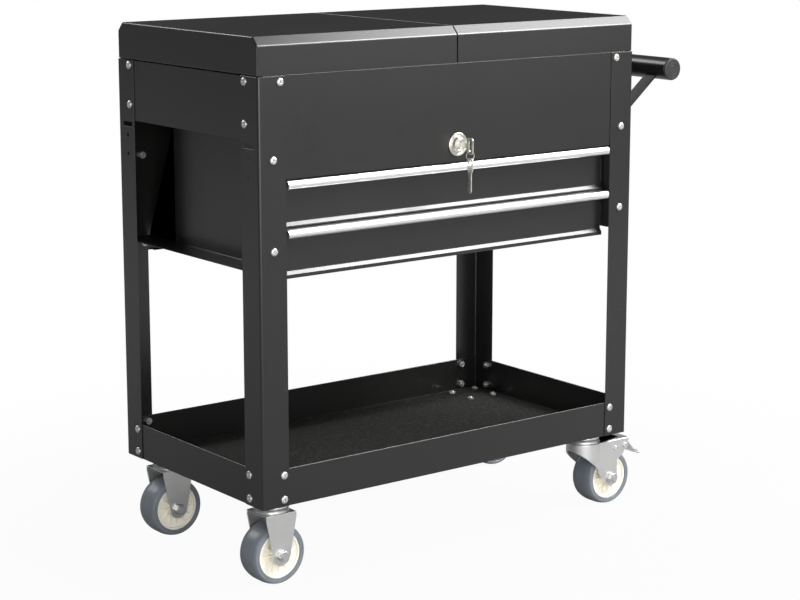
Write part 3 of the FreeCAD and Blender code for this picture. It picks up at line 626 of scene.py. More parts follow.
def offset_line(line, distance):
    """The same line moved sideways, to the left of its run."""
    moved = []
    for i, point in enumerate(line):
        before = (line[i] - line[i - 1]).normalized() if i else (line[1] - line[0]).normalized()
        after = (line[i + 1] - line[i]).normalized() if i + 1 < len(line) else before
        way = Vector((-before.y - after.y, before.x + after.x))
        scale = 2.0 * distance / max(way.length_squared, 1e-9)
        moved.append(point + way * scale)
    return moved


def strip(outside, thickness, x0, x1, name):
    """A bent strip that runs along X: its section in Y and Z, its thickness to the left of the line."""
    inside = offset_line(outside, thickness)
    work = bmesh.new()
    ends = []
    for x in (x0, x1):
        ends.append((section_at(work, x, outside), section_at(work, x, inside)))
    (outer_a, inner_a), (outer_b, inner_b) = ends
    last = len(outside) - 1
    for k in range(last):
        work.faces.new((outer_a[k], outer_b[k], outer_b[k + 1], outer_a[k + 1]))
        work.faces.new((inner_a[k], inner_a[k + 1], inner_b[k + 1], inner_b[k]))
        work.faces.new((outer_a[k], outer_a[k + 1], inner_a[k + 1], inner_a[k]))
        work.faces.new((outer_b[k], inner_b[k], inner_b[k + 1], outer_b[k + 1]))
    for k in (0, last):
        work.faces.new((outer_a[k], inner_a[k], inner_b[k], outer_b[k]))
    mesh = closed_up(work, name)
    shade(mesh, 30.0)
    return mesh


def joined(meshes, name):
    work = bmesh.new()
    for mesh in meshes:
        work.from_mesh(mesh)
    return finished(work, name)


def mirrored(mesh, middle_x):
    """The same piece on the other side of a plane across X, in millimetres."""
    copy = mesh.copy()
    plane = LEG_CORNER.x + middle_x * MM
    copy.transform(Matrix.Translation((2 * plane, 0, 0)) @ Matrix.Scale(-1, 4, (1, 0, 0)))
    copy.flip_normals()
    return copy


# Repeats made with Geometry Nodes


def tree_with(name, inputs):
    """A Geometry Nodes tree with its named inputs, and the recipe that fills it."""
    tree = bpy.data.node_groups.new(name, "GeometryNodeTree")
    tree.interface.new_socket("Geometry", in_out="INPUT", socket_type="NodeSocketGeometry")
    for label, kind in inputs:
        tree.interface.new_socket(label, in_out="INPUT", socket_type=kind)
    tree.interface.new_socket("Geometry", in_out="OUTPUT", socket_type="NodeSocketGeometry")
    recipe = Recipe(tree)
    start = tree.nodes.new("NodeGroupInput")
    given = {socket.name: Wire(recipe, socket) for socket in start.outputs if socket.name}
    return tree, recipe, given


def end_tree(recipe, geometry, finish):
    real = recipe.make("GeometryNodeRealizeInstances", None, {"Geometry": geometry})
    done = recipe.make("GeometryNodeSetMaterial", None, {"Geometry": real, "Material": finish})
    recipe.link(done, recipe.tree.nodes.new("NodeGroupOutput"), "Geometry")


def fastener_tree():
    """One pattern on every point, standing along the point's own way and turned by chance."""
    inputs = [("Pattern", "NodeSocketObject"), ("Finish", "NodeSocketMaterial"), ("Seed", "NodeSocketInt")]
    tree, recipe, given = tree_with("fasteners", inputs)
    settings = {"data_type": "FLOAT_VECTOR"}
    way = recipe.make("GeometryNodeInputNamedAttribute", settings, {"Name": "way"})
    aimed = recipe.make("FunctionNodeAlignRotationToVector", {"axis": "Z"}, {"Vector": way})
    limits = {2: 0.0, 3: 3.0, "Seed": given["Seed"]}
    chance = recipe.make("FunctionNodeRandomValue", {"data_type": "FLOAT"}, limits, 1)
    spin = recipe.make("FunctionNodeAxisAngleToRotation", None, {"Axis": (0, 0, 1), "Angle": chance})
    stand = recipe.make("FunctionNodeRotateRotation", {"rotation_space": "LOCAL"}, {0: aimed, 1: spin})
    pattern = recipe.make("GeometryNodeObjectInfo", None, {"Object": given["Pattern"]}, "Geometry")
    sockets = {"Points": given["Geometry"], "Instance": pattern, "Rotation": stand}
    placed = recipe.make("GeometryNodeInstanceOnPoints", None, sockets)
    end_tree(recipe, placed, given["Finish"])
    return tree


def wheel_rib_tree():
    """A ring of ribs about Z: the same rib, turned by an equal share of the circle each time."""
    inputs = [("Pattern", "NodeSocketObject"), ("Finish", "NodeSocketMaterial"), ("Count", "NodeSocketInt")]
    tree, recipe, given = tree_with("ring of ribs", inputs)
    points = recipe.make("GeometryNodePoints", None, {"Count": given["Count"], "Radius": 0.001})
    index = recipe.make("GeometryNodeInputIndex")
    turn = recipe.make("ShaderNodeCombineXYZ", None, {"Z": index * CIRCLE / given["Count"]})
    pattern = recipe.make("GeometryNodeObjectInfo", None, {"Object": given["Pattern"]}, "Geometry")
    sockets = {"Points": points, "Instance": pattern, "Rotation": turn}
    placed = recipe.make("GeometryNodeInstanceOnPoints", None, sockets)
    end_tree(recipe, placed, given["Finish"])
    return tree


def mat_rib_tree():
    """Half-round ribs side by side: each is a straight run of the rib's section."""
    inputs = [
        ("Length", "NodeSocketFloat"), ("Pitch", "NodeSocketFloat"), ("Radius", "NodeSocketFloat"),
        ("Count", "NodeSocketInt"), ("Finish", "NodeSocketMaterial"),
    ]
    tree, recipe, given = tree_with("mat ribs", inputs)
    step = recipe.make("ShaderNodeCombineXYZ", None, {"Y": given["Pitch"]})
    row = recipe.make("GeometryNodeMeshLine", {"mode": "OFFSET"}, {"Count": given["Count"], "Offset": step})
    end_point = recipe.make("ShaderNodeCombineXYZ", None, {"X": given["Length"]})
    ends = {"Start": (0, 0, 0), "End": end_point}
    run = recipe.make("GeometryNodeCurvePrimitiveLine", {"mode": "POINTS"}, ends)
    size = {"Resolution": 8, "Radius": given["Radius"]}
    section = recipe.make("GeometryNodeCurvePrimitiveCircle", {"mode": "RADIUS"}, size)
    sockets = {"Curve": run, "Profile Curve": section, "Fill Caps": True}
    rib = recipe.make("GeometryNodeCurveToMesh", None, sockets)
    placed = recipe.make("GeometryNodeInstanceOnPoints", None, {"Points": row, "Instance": rib})
    end_tree(recipe, placed, given["Finish"])
    return tree


def grown(tree, base, **values):
    """Run a tree on a mesh and give back what it makes, as a plain mesh."""

    def add_modifiers(carrier):
        modifier = carrier.modifiers.new("grown", "NODES")
        modifier.node_group = tree
        for item in tree.interface.items_tree:
            if item.in_out == "INPUT" and item.name in values:
                modifier[item.identifier] = values[item.name]

    return baked(base, add_modifiers)


def repeated(tree, mesh, base, **values):
    """Grow a tree whose pattern is a mesh."""
    pattern = new_object("pattern", mesh)
    result = grown(tree, base, Pattern=pattern, **values)
    bpy.data.objects.remove(pattern)
    return result


FASTENERS = fastener_tree()
RIB_RING = wheel_rib_tree()
MAT_RIBS = mat_rib_tree()


# Painted sheet metal

SIDES = ("left", "right")
ENDS = ("front", "rear")
RIM_RADIUS = 1.05
RIM_INSET = 0.75
RIM_SINK = 0.35


def make_tray():
    """Tray with its sheet's top edge rolled inwards to a small round rim."""
    low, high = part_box("shelf_tray")
    step = Vector((RIM_INSET, RIM_INSET, 0)) * MM
    first, last = low + step, high - step
    z = high.z - RIM_SINK * MM
    plan = ((first.x, first.y), (last.x, first.y), (last.x, last.y), (first.x, last.y))
    corners = [Vector((x, y, z)) for x, y in plan]
    rims = [bead(RIM_RADIUS, corner, corners[(k + 1) % 4], 12) for k, corner in enumerate(corners)]
    whole = joined([softened("shelf_tray", 0.8)] + rims, "tray")
    dress("tray_pan", whole, PAINT, "black_gloss", "shelf_tray")


def make_frame_and_chest():
    for side in ("front_left", "front_right", "rear_left", "rear_right"):
        rounded_piece("leg_" + side, "angle_leg_" + side, PAINT, "black_gloss", 1.8, 3)
    make_tray()
    rounded_piece("front_panel", "chest_front_sheet", PAINT, "black_gloss", 0.8)
    rounded_piece("back_panel", "chest_back_sheet", PAINT, "black_gloss", 1.4)
    for side in SIDES:
        rounded_piece("side_panel_" + side, "chest_side_sheet_" + side, PAINT, "black_gloss", 1.4)
    rounded_piece("chest_floor", "chest_bottom_sheet", INSIDE, "black_gloss", 1.2)
    for side in SIDES:
        rounded_piece("drawer_housing_" + side, "drawer_wall_" + side, PAINT, "black_gloss", 1.2)
    rounded_piece("lid_rails", "lid_guide_rails", ZINC, "zinc", 0.8)


LID_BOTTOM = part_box("lid_left")[0].z / MM - 1.0
LID_TOP = 793.0
LID_FRONT = 2.3
LID_START = 0.7
LID_SEAM_EDGE = 349.0
LID_SHEET = 1.2
LID_LIP = 8.0
CHAMFER_RUN = 12.0
CHAMFER_RISE = 12.5
WRAP_START = 2.3
SEAM_ROLL = 1.6
SEAM_FLANGE = 10.0
PAN_DEPTH = 9.0
PAN_ROLL = 1.1
PAN_FOOT = 6.0


def lid_section(inset):
    """Half of the lid's section as a line from its bottom lip up to the middle of its top."""
    shoulder = LID_TOP - CHAMFER_RISE
    return [
        (LID_FRONT + LID_LIP, LID_BOTTOM + inset),
        (LID_FRONT + inset, LID_BOTTOM + inset),
        (LID_FRONT + inset, shoulder),
        (LID_FRONT + CHAMFER_RUN + inset * 0.4, LID_TOP - inset),
        (FRAME_DEPTH / 2.0, LID_TOP - inset),
    ]


def lid_line(inset, radii, lip=True):
    half = rounded_line(lid_section(inset)[0 if lip else 1:], radii)
    back = [Vector((FRAME_DEPTH - p.x, p.y)) for p in half[-2::-1]]
    return half + back


def lid_wrap():
    """The sheet that makes a lid's front, chamfers, top and back, with its top turned down at the seam."""
    line = lid_line(0.0, [1.0, 5.0, 2.2])
    work = bmesh.new()
    places = (WRAP_START, LID_SEAM_EDGE - SEAM_ROLL, LID_SEAM_EDGE)
    outer, inner, edge = [section_at(work, x, line) for x in places]
    fold_from = next(k for k, p in enumerate(line) if p.y > LID_TOP - 0.001)
    fold_to = len(line) - 1 - fold_from
    bridge(work, [outer, inner], closed=False)
    bridge(work, [inner[:fold_from + 1], edge[:fold_from + 1]], closed=False)
    bridge(work, [inner[fold_to:], edge[fold_to:]], closed=False)
    top = line[fold_from: fold_to + 1]
    rolled = [inner[fold_from: fold_to + 1]]
    for sine, cosine in arc(QUARTER, 5)[1:]:
        x = LID_SEAM_EDGE - SEAM_ROLL + SEAM_ROLL * sine
        z = LID_TOP - SEAM_ROLL + SEAM_ROLL * cosine
        rolled.append([work.verts.new(at(x, p.x, z)) for p in top])
    rolled.append([work.verts.new(at(LID_SEAM_EDGE, p.x, LID_TOP - SEAM_FLANGE)) for p in top])
    bridge(work, rolled, closed=False)
    bmesh.ops.recalc_face_normals(work, faces=work.faces)
    face_up(work)
    return sheet_of(finished(work, "lid wrap"), LID_SHEET)


def face_up(work):
    """Turn an open skin so that its top faces the sky."""
    top = max(work.faces, key=lambda face: (round(face.calc_center_median().z, 5), face.calc_area()))
    if top.normal.z < 0:
        bmesh.ops.reverse_faces(work, faces=work.faces)


def sheet_of(mesh, thickness):
    """An open skin made into sheet metal, its thickness inside the skin."""

    def add_modifiers(carrier):
        set_modifier(
            carrier, "SOLIDIFY", thickness=thickness * MM, offset=-1.0, use_even_offset=True, use_rim=True,
        )
        set_modifier(
            carrier, "BEVEL", limit_method="ANGLE", angle_limit=math.radians(62), width=0.28 * MM, segments=2,
            use_clamp_overlap=False,
        )

    mesh = baked(mesh, add_modifiers)
    shade(mesh, 36.0)
    return mesh


def lid_end():
    """The end of a lid: a shallow pan whose rolled rim sits just inside the wrapped sheet."""
    line = lid_line(0.7, [2.2, 1.6], lip=False)
    work = bmesh.new()
    rings = []
    for sine, cosine in arc(QUARTER, 5):
        x = LID_START + PAN_ROLL * (1.0 - cosine)
        shrunk = [moved_in(p, PAN_ROLL * (1.0 - sine)) for p in line]
        rings.append(section_at(work, x, shrunk))
    rings.append(section_at(work, LID_START + PAN_DEPTH, line))
    bridge(work, rings)
    work.faces.new(rings[0])
    bmesh.ops.recalc_face_normals(work, faces=work.faces)
    outer = min(work.faces, key=lambda face: face.calc_center_median().x)
    if outer.normal.x > 0:
        bmesh.ops.reverse_faces(work, faces=work.faces)
    return sheet_of(finished(work, "lid end"), 1.0)


def moved_in(point, inset):
    """Move a point of the lid's end inwards from the nearer sides."""
    y = point.x + (inset if point.x < FRAME_DEPTH / 2.0 else -inset)
    z = point.y + (inset if point.y < LID_BOTTOM + PAN_FOOT else -inset)
    return Vector((y, z))


def make_lids():
    whole = joined([lid_wrap(), lid_end()], "left lid sheet")
    other = mirrored(whole, FRAME_WIDTH / 2.0)
    dress("lid_sheet_left", whole, PAINT, "black_gloss", "lid_left")
    dress("lid_sheet_right", other, PAINT, "black_gloss", "lid_right")
    for side in SIDES:
        rounded_piece("lid_%s_runners" % side, "lid_runners_" + side, ZINC, "zinc", 0.6)


# Drawers

TRIM_TOP = 592.9
TRIM_HEIGHT = 12.1
TRIM_WALL = 1.5
DRAWER_LEFT = 48.0
DRAWER_RIGHT = 652.0
DRAWER_PITCH = 69.5
FRONT_FACE = 17.0
LIP_RISE = 5.0
LIP_BOTTOM = 526.7
LIP_FACE = 13.2


def trim_section(drop):
    """The pull along a drawer's top: over the front, down its face and turned in below."""
    top = TRIM_TOP - drop
    low = top - TRIM_HEIGHT
    back = FRONT_FACE + LID_SHEET + TRIM_WALL + 0.05
    corners = [
        (back, top - 9.0), (back, top), (0.8, top), (-2.5, top - 5.5),
        (-2.3, low + 2.6), (0.0, low), (2.2, low),
    ]
    return rounded_line(corners, [1.6, 5.5, 6.0, 3.4, 1.0], 8)


def front_section(top, low, hem):
    """A drawer's face down to the lip that turns out below it."""
    corners = [(FRONT_FACE, top), (FRONT_FACE, low + LIP_RISE), (LIP_FACE, low), (LIP_FACE, low - hem)]
    return rounded_line(corners, [3.0, 0.9], 6)


def make_drawers():
    for name, drop in (("upper", 0.0), ("lower", DRAWER_PITCH)):
        body = "drawer_" + name
        trim = strip(trim_section(drop), TRIM_WALL, DRAWER_LEFT, DRAWER_RIGHT, "trim")
        dress(body + "_bright_pull", trim, CHROME, "chrome", body + "_trim")
        hem = LIP_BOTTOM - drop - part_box(body + "_front")[0].z / MM
        section = front_section(TRIM_TOP - 1.7 - drop, LIP_BOTTOM - drop, hem)
        face = strip(section, LID_SHEET, DRAWER_LEFT, DRAWER_RIGHT, "face")
        dress(body + "_face", face, PAINT, "black_gloss", body + "_front")
        rounded_piece(body + "_box", body + "_tray", PAINT, "black_gloss", 1.2)
        for part in ("inner", "middle"):
            rounded_piece("%s_slide_%s" % (body, part), "%s_%s_rail" % (body, part), ZINC, "zinc", 0.5)
    rounded_piece("slide_outer_members", "drawer_outer_rails", ZINC, "zinc", 0.5)


# Lock and keys

LOCK_X = 350.0
LOCK_Z = 620.1
SHEET = 1.2
RING_RADIUS = 7.2
RING_Y = -28.5
RING_Z = 605.9
RING_WIRE = 0.42


def make_lock():
    """Bright collar with a dished groove and a raised nose round the plug."""
    rear = -21.8
    profile = [
        (7.5, rear), (9.5, rear), (9.5, -0.2), (17.0, -0.2), (17.5, 0.3), (17.5, 1.3), (17.1, 2.2),
        (16.2, 2.75), (15.4, 2.8), (14.4, 2.5), (13.7, 1.9), (13.2, 1.7), (12.6, 1.9), (12.0, 2.8),
        (10.8, 6.2), (10.2, 6.9), (9.3, 7.2), (8.0, 7.2), (7.5, 6.9),
    ]
    collar = turned(profile, at(LOCK_X, SHEET, LOCK_Z), (0, -1, 0), 72, closed=True)
    dress("lock_collar", collar, NICKEL, "chrome", "lock_body")
    rounded_piece("lock_plug", "lock_core", NICKEL, "chrome", 0.5)
    rounded_piece("lock_cam", "lock_tongue", ZINC, "zinc", 0.4)
    rounded_piece("key", "lock_key", NICKEL, "chrome", 0.5)
    rounded_piece("spare_key", "hanging_key", NICKEL, "chrome", 0.5)


def make_split_ring():
    """Flat coil of two turns of wire whose ends lie side by side."""
    turns, steps = 1.9, 60
    pitch = 2.1 * RING_WIRE
    work = bmesh.new()
    rings = []
    for k in range(int(turns * steps) + 1):
        angle = CIRCLE * k / steps
        drift = pitch * (k / steps - turns / 2.0) * 0.82
        ring = []
        for sine, cosine in arc(CIRCLE, 8)[:-1]:
            radius = RING_RADIUS + RING_WIRE * cosine
            x = LOCK_X + radius * math.sin(angle)
            y = RING_Y + drift * 0.5 + RING_WIRE * sine
            ring.append(work.verts.new(at(x, y, RING_Z + radius * math.cos(angle))))
        rings.append(ring)
    bridge(work, rings)
    work.faces.new(rings[0])
    work.faces.new(rings[-1][::-1])
    mesh = closed_up(work, "split ring")
    shade(mesh, 50.0)
    dress("split_ring", mesh, NICKEL, "chrome", "key_ring")


# Handle

BAR_X = 777.6
BAR_Z = 706.6
BAR_RADIUS = 17.5
BAR_FRONT = -10.0
BAR_BACK = 389.0
CAP_RIM = 3.0
CAP_LENGTH = 15.0


def make_handle():
    length = BAR_BACK - BAR_FRONT - 2 * CAP_RIM
    wall = BAR_RADIUS - 1.5
    profile = [
        (wall, 0), (BAR_RADIUS - 0.3, 0), (BAR_RADIUS, 0.3), (BAR_RADIUS, length / 3),
        (BAR_RADIUS, 2 * length / 3), (BAR_RADIUS, length - 0.3), (BAR_RADIUS - 0.3, length), (wall, length),
    ]
    bar = turned(profile, at(BAR_X, BAR_FRONT + CAP_RIM, BAR_Z), (0, 1, 0), 72, closed=True)
    dress("grip_tube", bar, PAINT, "black_gloss", "handle_bar")
    cap_profile = [
        (0, 0), (wall - 0.15, 0), (wall - 0.15, 12.0), (BAR_RADIUS - 0.2, 12.0), (BAR_RADIUS - 0.2, 13.4),
        (BAR_RADIUS - 0.6, 14.3), (BAR_RADIUS - 1.4, 14.8), (BAR_RADIUS - 2.8, CAP_LENGTH),
        (12.6, CAP_LENGTH), (12.2, 14.5), (11.4, 14.5), (11.0, CAP_LENGTH), (7.6, CAP_LENGTH), (7.2, 14.6),
        (6.4, 14.6), (6.0, CAP_LENGTH), (0, CAP_LENGTH),
    ]
    front = turned(cap_profile, at(BAR_X, BAR_FRONT + CAP_LENGTH, BAR_Z), (0, -1, 0), 64)
    rear = turned(cap_profile, at(BAR_X, BAR_BACK - CAP_LENGTH, BAR_Z), (0, 1, 0), 64)
    dress("grip_caps", joined([front, rear], "caps"), CAP, "black_plastic", "handle_end_caps")
    for end in ENDS:
        rounded_piece("handle_bracket_" + end, "grip_strut_" + end, PAINT, "black_gloss", 0.8)


# Casters

WHEEL_RADIUS = 45.3
WHEEL_WIDTH = 42.0
HUB_RADIUS = 35.0
AXLE_BORE = 5.06
TREAD_CROWN = 3.0
SHOULDER = 1.4
HUB_RIBS = 12
CASTER_X = 46.0
CASTER_Y = 48.0
RACE_MIDDLE = 23.4
RACE_BEAD = 2.4
RACE_HEIGHT = 116.6
PEDAL_ROLL = 2.6
PEDAL_WIDTH = 40.0
CASTERS = [(kind, end) for kind in ("rigid", "swivel") for end in ENDS]


def both_faces(half):
    """A profile with its mirror image below the middle."""
    return half + [(r, -h) for r, h in half[::-1]]


def tyre_mesh(centre):
    """Tyre with rounded shoulders and a shallow groove on each side wall."""
    half = WHEEL_WIDTH / 2.0
    edge = WHEEL_RADIUS - TREAD_CROWN
    flat = 0.3
    quarter = [
        (HUB_RADIUS, half - 0.6), (HUB_RADIUS + 0.5, half), (37.6, half), (38.1, half - 0.35), (38.6, half),
    ]
    for sine, cosine in arc(QUARTER, 4):
        quarter.append((edge - SHOULDER + SHOULDER * sine, half - SHOULDER + SHOULDER * cosine))
    for k in range(8):
        share = 0.9 - (0.9 - flat) * k / 7
        drop = TREAD_CROWN * ((share - flat) / (1.0 - flat)) ** 2
        quarter.append((WHEEL_RADIUS - drop, half * share))
    return turned(both_faces(quarter), centre, (0, 1, 0), 96, closed=True)


def hub_mesh(centre):
    """Moulded hub: boss, thin web, rim, and a ring of ribs on each face."""
    boss, web_in, web_out, rim = 23.4, 10.5, 17.0, 19.6
    inner = HUB_RADIUS - 3.5
    half = [
        (AXLE_BORE, boss), (8.2, boss), (8.9, boss - 0.7), (9.6, web_in + 1.5), (11.0, web_in),
        (20.0, web_in + 3.4), (inner - 1.2, web_out), (inner - 0.4, web_out - 0.2), (inner, web_out + 0.3),
        (inner + 0.2, rim - 0.5), (inner + 0.7, rim), (HUB_RADIUS - 0.5, rim), (HUB_RADIUS, rim - 0.5),
    ]
    body = turned(both_faces(half), Vector((0, 0, 0)), (0, 0, 1), 96, closed=True)
    work = bmesh.new()
    outline = [
        (8.6, web_in - 1.0), (8.6, 20.4), (12.0, 19.6), (inner - 3.0, web_out + 0.3), (inner - 3.0, web_in),
    ]
    for face_side in (1, -1):
        sides = []
        for thick in (-0.85, 0.85):
            sides.append([work.verts.new((r * MM, thick * MM, face_side * h * MM)) for r, h in outline])
        work.faces.new(sides[0])
        work.faces.new(sides[1][::-1])
        bridge(work, sides)
    rib = closed_up(work, "hub rib")
    ribs = repeated(RIB_RING, rib, bpy.data.meshes.new("empty"), Finish=NYLON, Count=HUB_RIBS)
    whole = joined([body, ribs], "hub")
    aim(whole, centre, (0, 1, 0))
    shade(whole, 30.0)
    return whole


def make_wheels():
    for kind, end in CASTERS:
        name = "%s_wheel_%s" % (kind, end)
        low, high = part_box(name + "_tyre")
        centre = (low + high) / 2.0
        dress(name + "_rubber", tyre_mesh(centre), TYRE, "tyre_grey", name + "_tyre")
        dress(name + "_centre", hub_mesh(centre), NYLON, "hub_plastic", name + "_hub")


def make_plates():
    """Mounting plates, each with a rolled bead round its ball race."""
    meshes = [softened("caster_plates", 0.8)]
    section = [(RACE_MIDDLE + RACE_BEAD * cosine, RACE_BEAD * sine) for sine, cosine in arc(CIRCLE, 20)[:-1]]
    for kind, end in CASTERS:
        x = CASTER_X if kind == "rigid" else FRAME_WIDTH - CASTER_X
        y = CASTER_Y if end == "front" else FRAME_DEPTH - CASTER_Y
        meshes.append(turned(section, at(x, y, RACE_HEIGHT), (0, 0, 1), 72, closed=True))
    dress("caster_top_plates", joined(meshes, "plates"), CHROME, "zinc", "caster_plates")


def bead(radius, start, end, steps=16):
    """A round bar with rounded ends between two points of the frame."""
    run = end - start
    length = run.length / MM
    profile = [(radius * sine, radius - radius * cosine) for sine, cosine in arc(QUARTER, 4)]
    profile += [(r, length - h) for r, h in profile[::-1]]
    return turned(profile, start, run, steps)


def make_pedal(end):
    """Foot lever with its tip rolled over."""
    node = "brake_pedal_" + end
    low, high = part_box(node)
    x = high.x - PEDAL_ROLL * MM
    z = low.z + PEDAL_ROLL * MM
    y = (low.y + high.y) / 2.0
    half = PEDAL_WIDTH / 2.0 * MM
    roll = bead(PEDAL_ROLL, Vector((x, y - half, z)), Vector((x, y + half, z)))
    lever = softened(node, 1.0, 3)
    dress("brake_lever_" + end, joined([lever, roll], "lever"), ZINC, "zinc", node)


def make_casters():
    make_plates()
    rounded_piece("rigid_axles", "rigid_wheel_bolts", BOLT, "zinc", 0.8)
    for end in ENDS:
        rounded_piece("rigid_fork_" + end, "rigid_bracket_" + end, ZINC, "zinc", 1.6, 3, 20.0)
        rounded_piece("swivel_fork_" + end, "swivel_bracket_" + end, ZINC, "zinc", 1.6, 3, 18.0)
        rounded_piece("swivel_axle_" + end, "swivel_wheel_bolt_" + end, BOLT, "zinc", 0.8)
        make_pedal(end)
    make_wheels()


# Fasteners

HEAD_RADIUS = 5.75
HEAD_HEIGHT = 3.0
SHANK_RADIUS = 3.0
DOME_FLAT = 2.0
HEAD_RIM = 1.0
THREAD_PITCH = 1.0
THREAD_DEPTH = 0.35
CROSS_FLOOR = 1.5
CROSS_REACH = (0.4, 2.2)
CROSS_ARM = 10.0
CROSS_DEPTH = 0.7
LEAST_LOCK_NUT = 20.0
SCREWS = (("frame_bolts", "frame_screws", 1.0), ("caster_bolts", "caster_screws", -1.0))


def bolt_mesh(length):
    """Domed head with a washer face and a cross recess, over a shank cut with rings of thread."""
    dome = []
    for sine, cosine in arc(QUARTER, 5):
        radius = DOME_FLAT + (HEAD_RADIUS - DOME_FLAT) * cosine
        dome.append((radius, HEAD_RIM + (HEAD_HEIGHT - HEAD_RIM) * sine))
    recess = [(1.1, HEAD_HEIGHT - 0.1), (0.6, HEAD_HEIGHT - 1.1), (0.0, HEAD_HEIGHT - 1.3)]
    thread = []
    for k in range(int((length - 4.0) / THREAD_PITCH), 0, -1):
        low = -length + THREAD_PITCH * k
        thread += [(SHANK_RADIUS - THREAD_DEPTH, low + THREAD_PITCH / 2), (SHANK_RADIUS, low)]
    shank = [(0.0, -length), (SHANK_RADIUS - 0.5, -length)] + thread[::-1]
    profile = shank + [(SHANK_RADIUS, -2.0), (SHANK_RADIUS, 0.0), (HEAD_RADIUS, 0.0)] + dome + recess
    mesh = turned(profile, Vector((0, 0, 0)), (0, 0, 1), 20)
    cut_cross(mesh)
    shade(mesh, 34.0)
    return mesh


def cut_cross(mesh):
    """Press the cross recess into the dome by sinking its four arms."""
    for vertex in mesh.vertices:
        radius = math.hypot(vertex.co.x, vertex.co.y) / MM
        if vertex.co.z < CROSS_FLOOR * MM or radius < CROSS_REACH[0] or radius > CROSS_REACH[1]:
            continue
        turn = math.degrees(math.atan2(vertex.co.y, vertex.co.x)) % 90.0
        if min(turn, 90.0 - turn) < CROSS_ARM:
            vertex.co.z -= CROSS_DEPTH * MM


def nut_mesh(flats, height, bore):
    """Hexagonal nut with its corners turned off and a countersunk bore."""
    work = bmesh.new()
    steps = 36
    across = flats / 2.0
    rings = []
    for level, share in ((0.0, 0.94), (0.5, 1.0), (height - 0.8, 1.0), (height, 0.90)):
        radii = []
        for k in range(steps):
            local = (CIRCLE * k / steps + math.pi / 6) % (math.pi / 3) - math.pi / 6
            radii.append(min(across / math.cos(local), across * 1.155 * share))
        rings.append(ring_of(work, radii, level))
    for radius, level in ((bore + 0.6, height), (bore, height - 0.6), (bore, 0.6), (bore + 0.6, 0.0)):
        rings.append(ring_of(work, [radius] * steps, level))
    rings.append(rings[0])
    for lower, upper in zip(rings, rings[1:]):
        for k in range(steps):
            after = (k + 1) % steps
            work.faces.new((lower[k], lower[after], upper[after], upper[k]))
    mesh = closed_up(work, "nut")
    shade(mesh, 25.0)
    return mesh


def solids_of(node):
    """Each separate solid of a node, as the lowest and highest corner of its box."""
    work = bmesh.new()
    work.from_mesh(frame["nodes"][node].data)
    bmesh.ops.remove_doubles(work, verts=work.verts, dist=SAME_PLACE)
    left = set(work.verts)
    boxes = []
    while left:
        group, front = set(), [left.pop()]
        while front:
            vertex = front.pop()
            group.add(vertex)
            for edge in vertex.link_edges:
                other = edge.other_vert(vertex)
                if other in left:
                    left.remove(other)
                    front.append(other)
        low = Vector([min(v.co[i] for v in group) for i in range(3)])
        high = Vector([max(v.co[i] for v in group) for i in range(3)])
        boxes.append((low, high))
    work.free()
    return boxes


def seat_of(low, high, head_first):
    """Where a fastener sits and which way it points: away from the cabinet, or with head_first up or down."""
    size = high - low
    pairs = [abs(size[1] - size[2]), abs(size[0] - size[2]), abs(size[0] - size[1])]
    axis = pairs.index(min(pairs))
    middle = (low + high) / 2.0
    way = Vector((0, 0, 0))
    centre = at(FRAME_WIDTH / 2.0, FRAME_DEPTH / 2.0, 0)
    if axis == 2:
        way[2] = head_first
    else:
        way[axis] = 1.0 if middle[axis] > centre[axis] else -1.0
    return middle, way, axis, size


def point_cloud(seats):
    mesh = bpy.data.meshes.new("seats")
    mesh.from_pydata([place for place, _ in seats], [], [])
    ways = mesh.attributes.new("way", "FLOAT_VECTOR", "POINT")
    for slot, (_, way) in zip(ways.data, seats):
        slot.vector = way
    return mesh


def spread(mesh, seats, seed):
    return repeated(FASTENERS, mesh, point_cloud(seats), Finish=BOLT, Seed=seed)


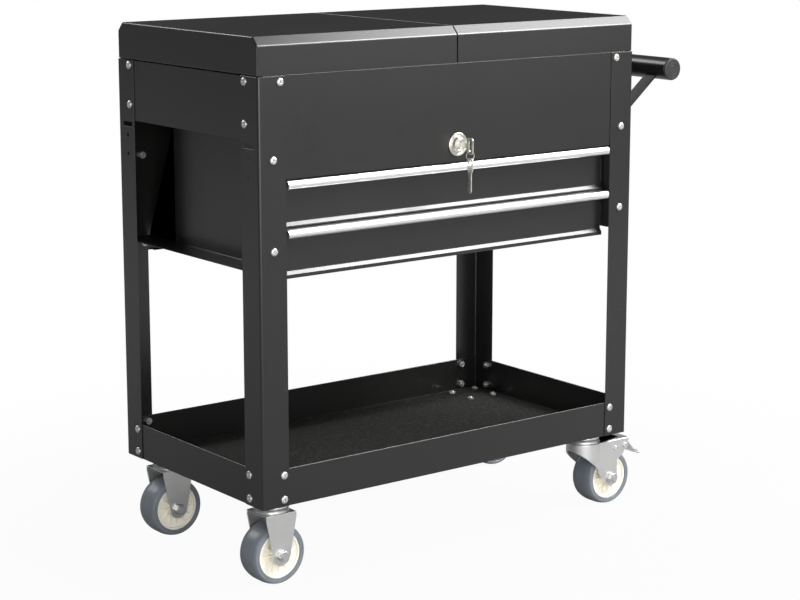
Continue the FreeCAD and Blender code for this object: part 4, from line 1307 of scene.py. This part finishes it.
def make_fasteners():
    for node, name, head_first in SCREWS:
        by_length = {}
        for low, high in solids_of(node):
            middle, way, axis, size = seat_of(low, high, head_first)
            seat = middle + way * (size[axis] / 2.0 - HEAD_HEIGHT * MM)
            by_length.setdefault(round(size[axis] / MM - HEAD_HEIGHT, 1), []).append((seat, way))
        parts = [spread(bolt_mesh(length), seats, 3) for length, seats in sorted(by_length.items())]
        dress(name, joined(parts, name), BOLT, "zinc", node)
    small, parts = [], []
    for low, high in solids_of("nuts"):
        middle, way, axis, size = seat_of(low, high, 1.0)
        inward = way if axis == 2 else -way
        seat = middle - inward * size[axis] / 2.0
        if max(size) > LEAST_LOCK_NUT * MM:
            parts.append(spread(nut_mesh(25.0, 4.0, 9.6), [(seat, inward)], 1))
        else:
            small.append((seat, inward))
    parts.append(spread(nut_mesh(10.0, 5.0, SHANK_RADIUS + 0.05), small, 5))
    dress("hex_nuts", joined(parts, "nuts"), BOLT, "zinc", "nuts")


# Tray mat

MAT_BORDER = 6.0
MAT_PITCH = 4.0
RIB_RADIUS = 1.25
RIB_SINK = 0.5


def make_mat():
    """Thin rubber sheet with fine half-round ribs from front to back."""
    mesh = finished(clean_copy("shelf_mat"), "mat base")
    low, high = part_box("shelf_mat")
    pitch = MAT_PITCH * MM
    sizes = {
        "Length": high.y - low.y - 2 * MAT_BORDER * MM,
        "Pitch": -pitch,
        "Radius": RIB_RADIUS * MM,
        "Count": int((high.x - low.x - 2 * MAT_BORDER * MM) / pitch),
    }
    ribs = grown(MAT_RIBS, bpy.data.meshes.new("empty"), Finish=RUBBER, **sizes)
    ribs.transform(Matrix.Rotation(QUARTER, 4, "Z"))
    start = (low.x + (MAT_BORDER + 1.0) * MM, low.y + MAT_BORDER * MM, high.z - RIB_SINK * MM)
    ribs.transform(Matrix.Translation(start))
    whole = joined([mesh, ribs], "mat")
    shade(whole, 50.0)
    dress("ribbed_mat", whole, RUBBER, "mat_rubber", "shelf_mat")


make_frame_and_chest()
make_lids()
make_drawers()
make_lock()
make_split_ring()
make_handle()
make_casters()
make_fasteners()
make_mat()
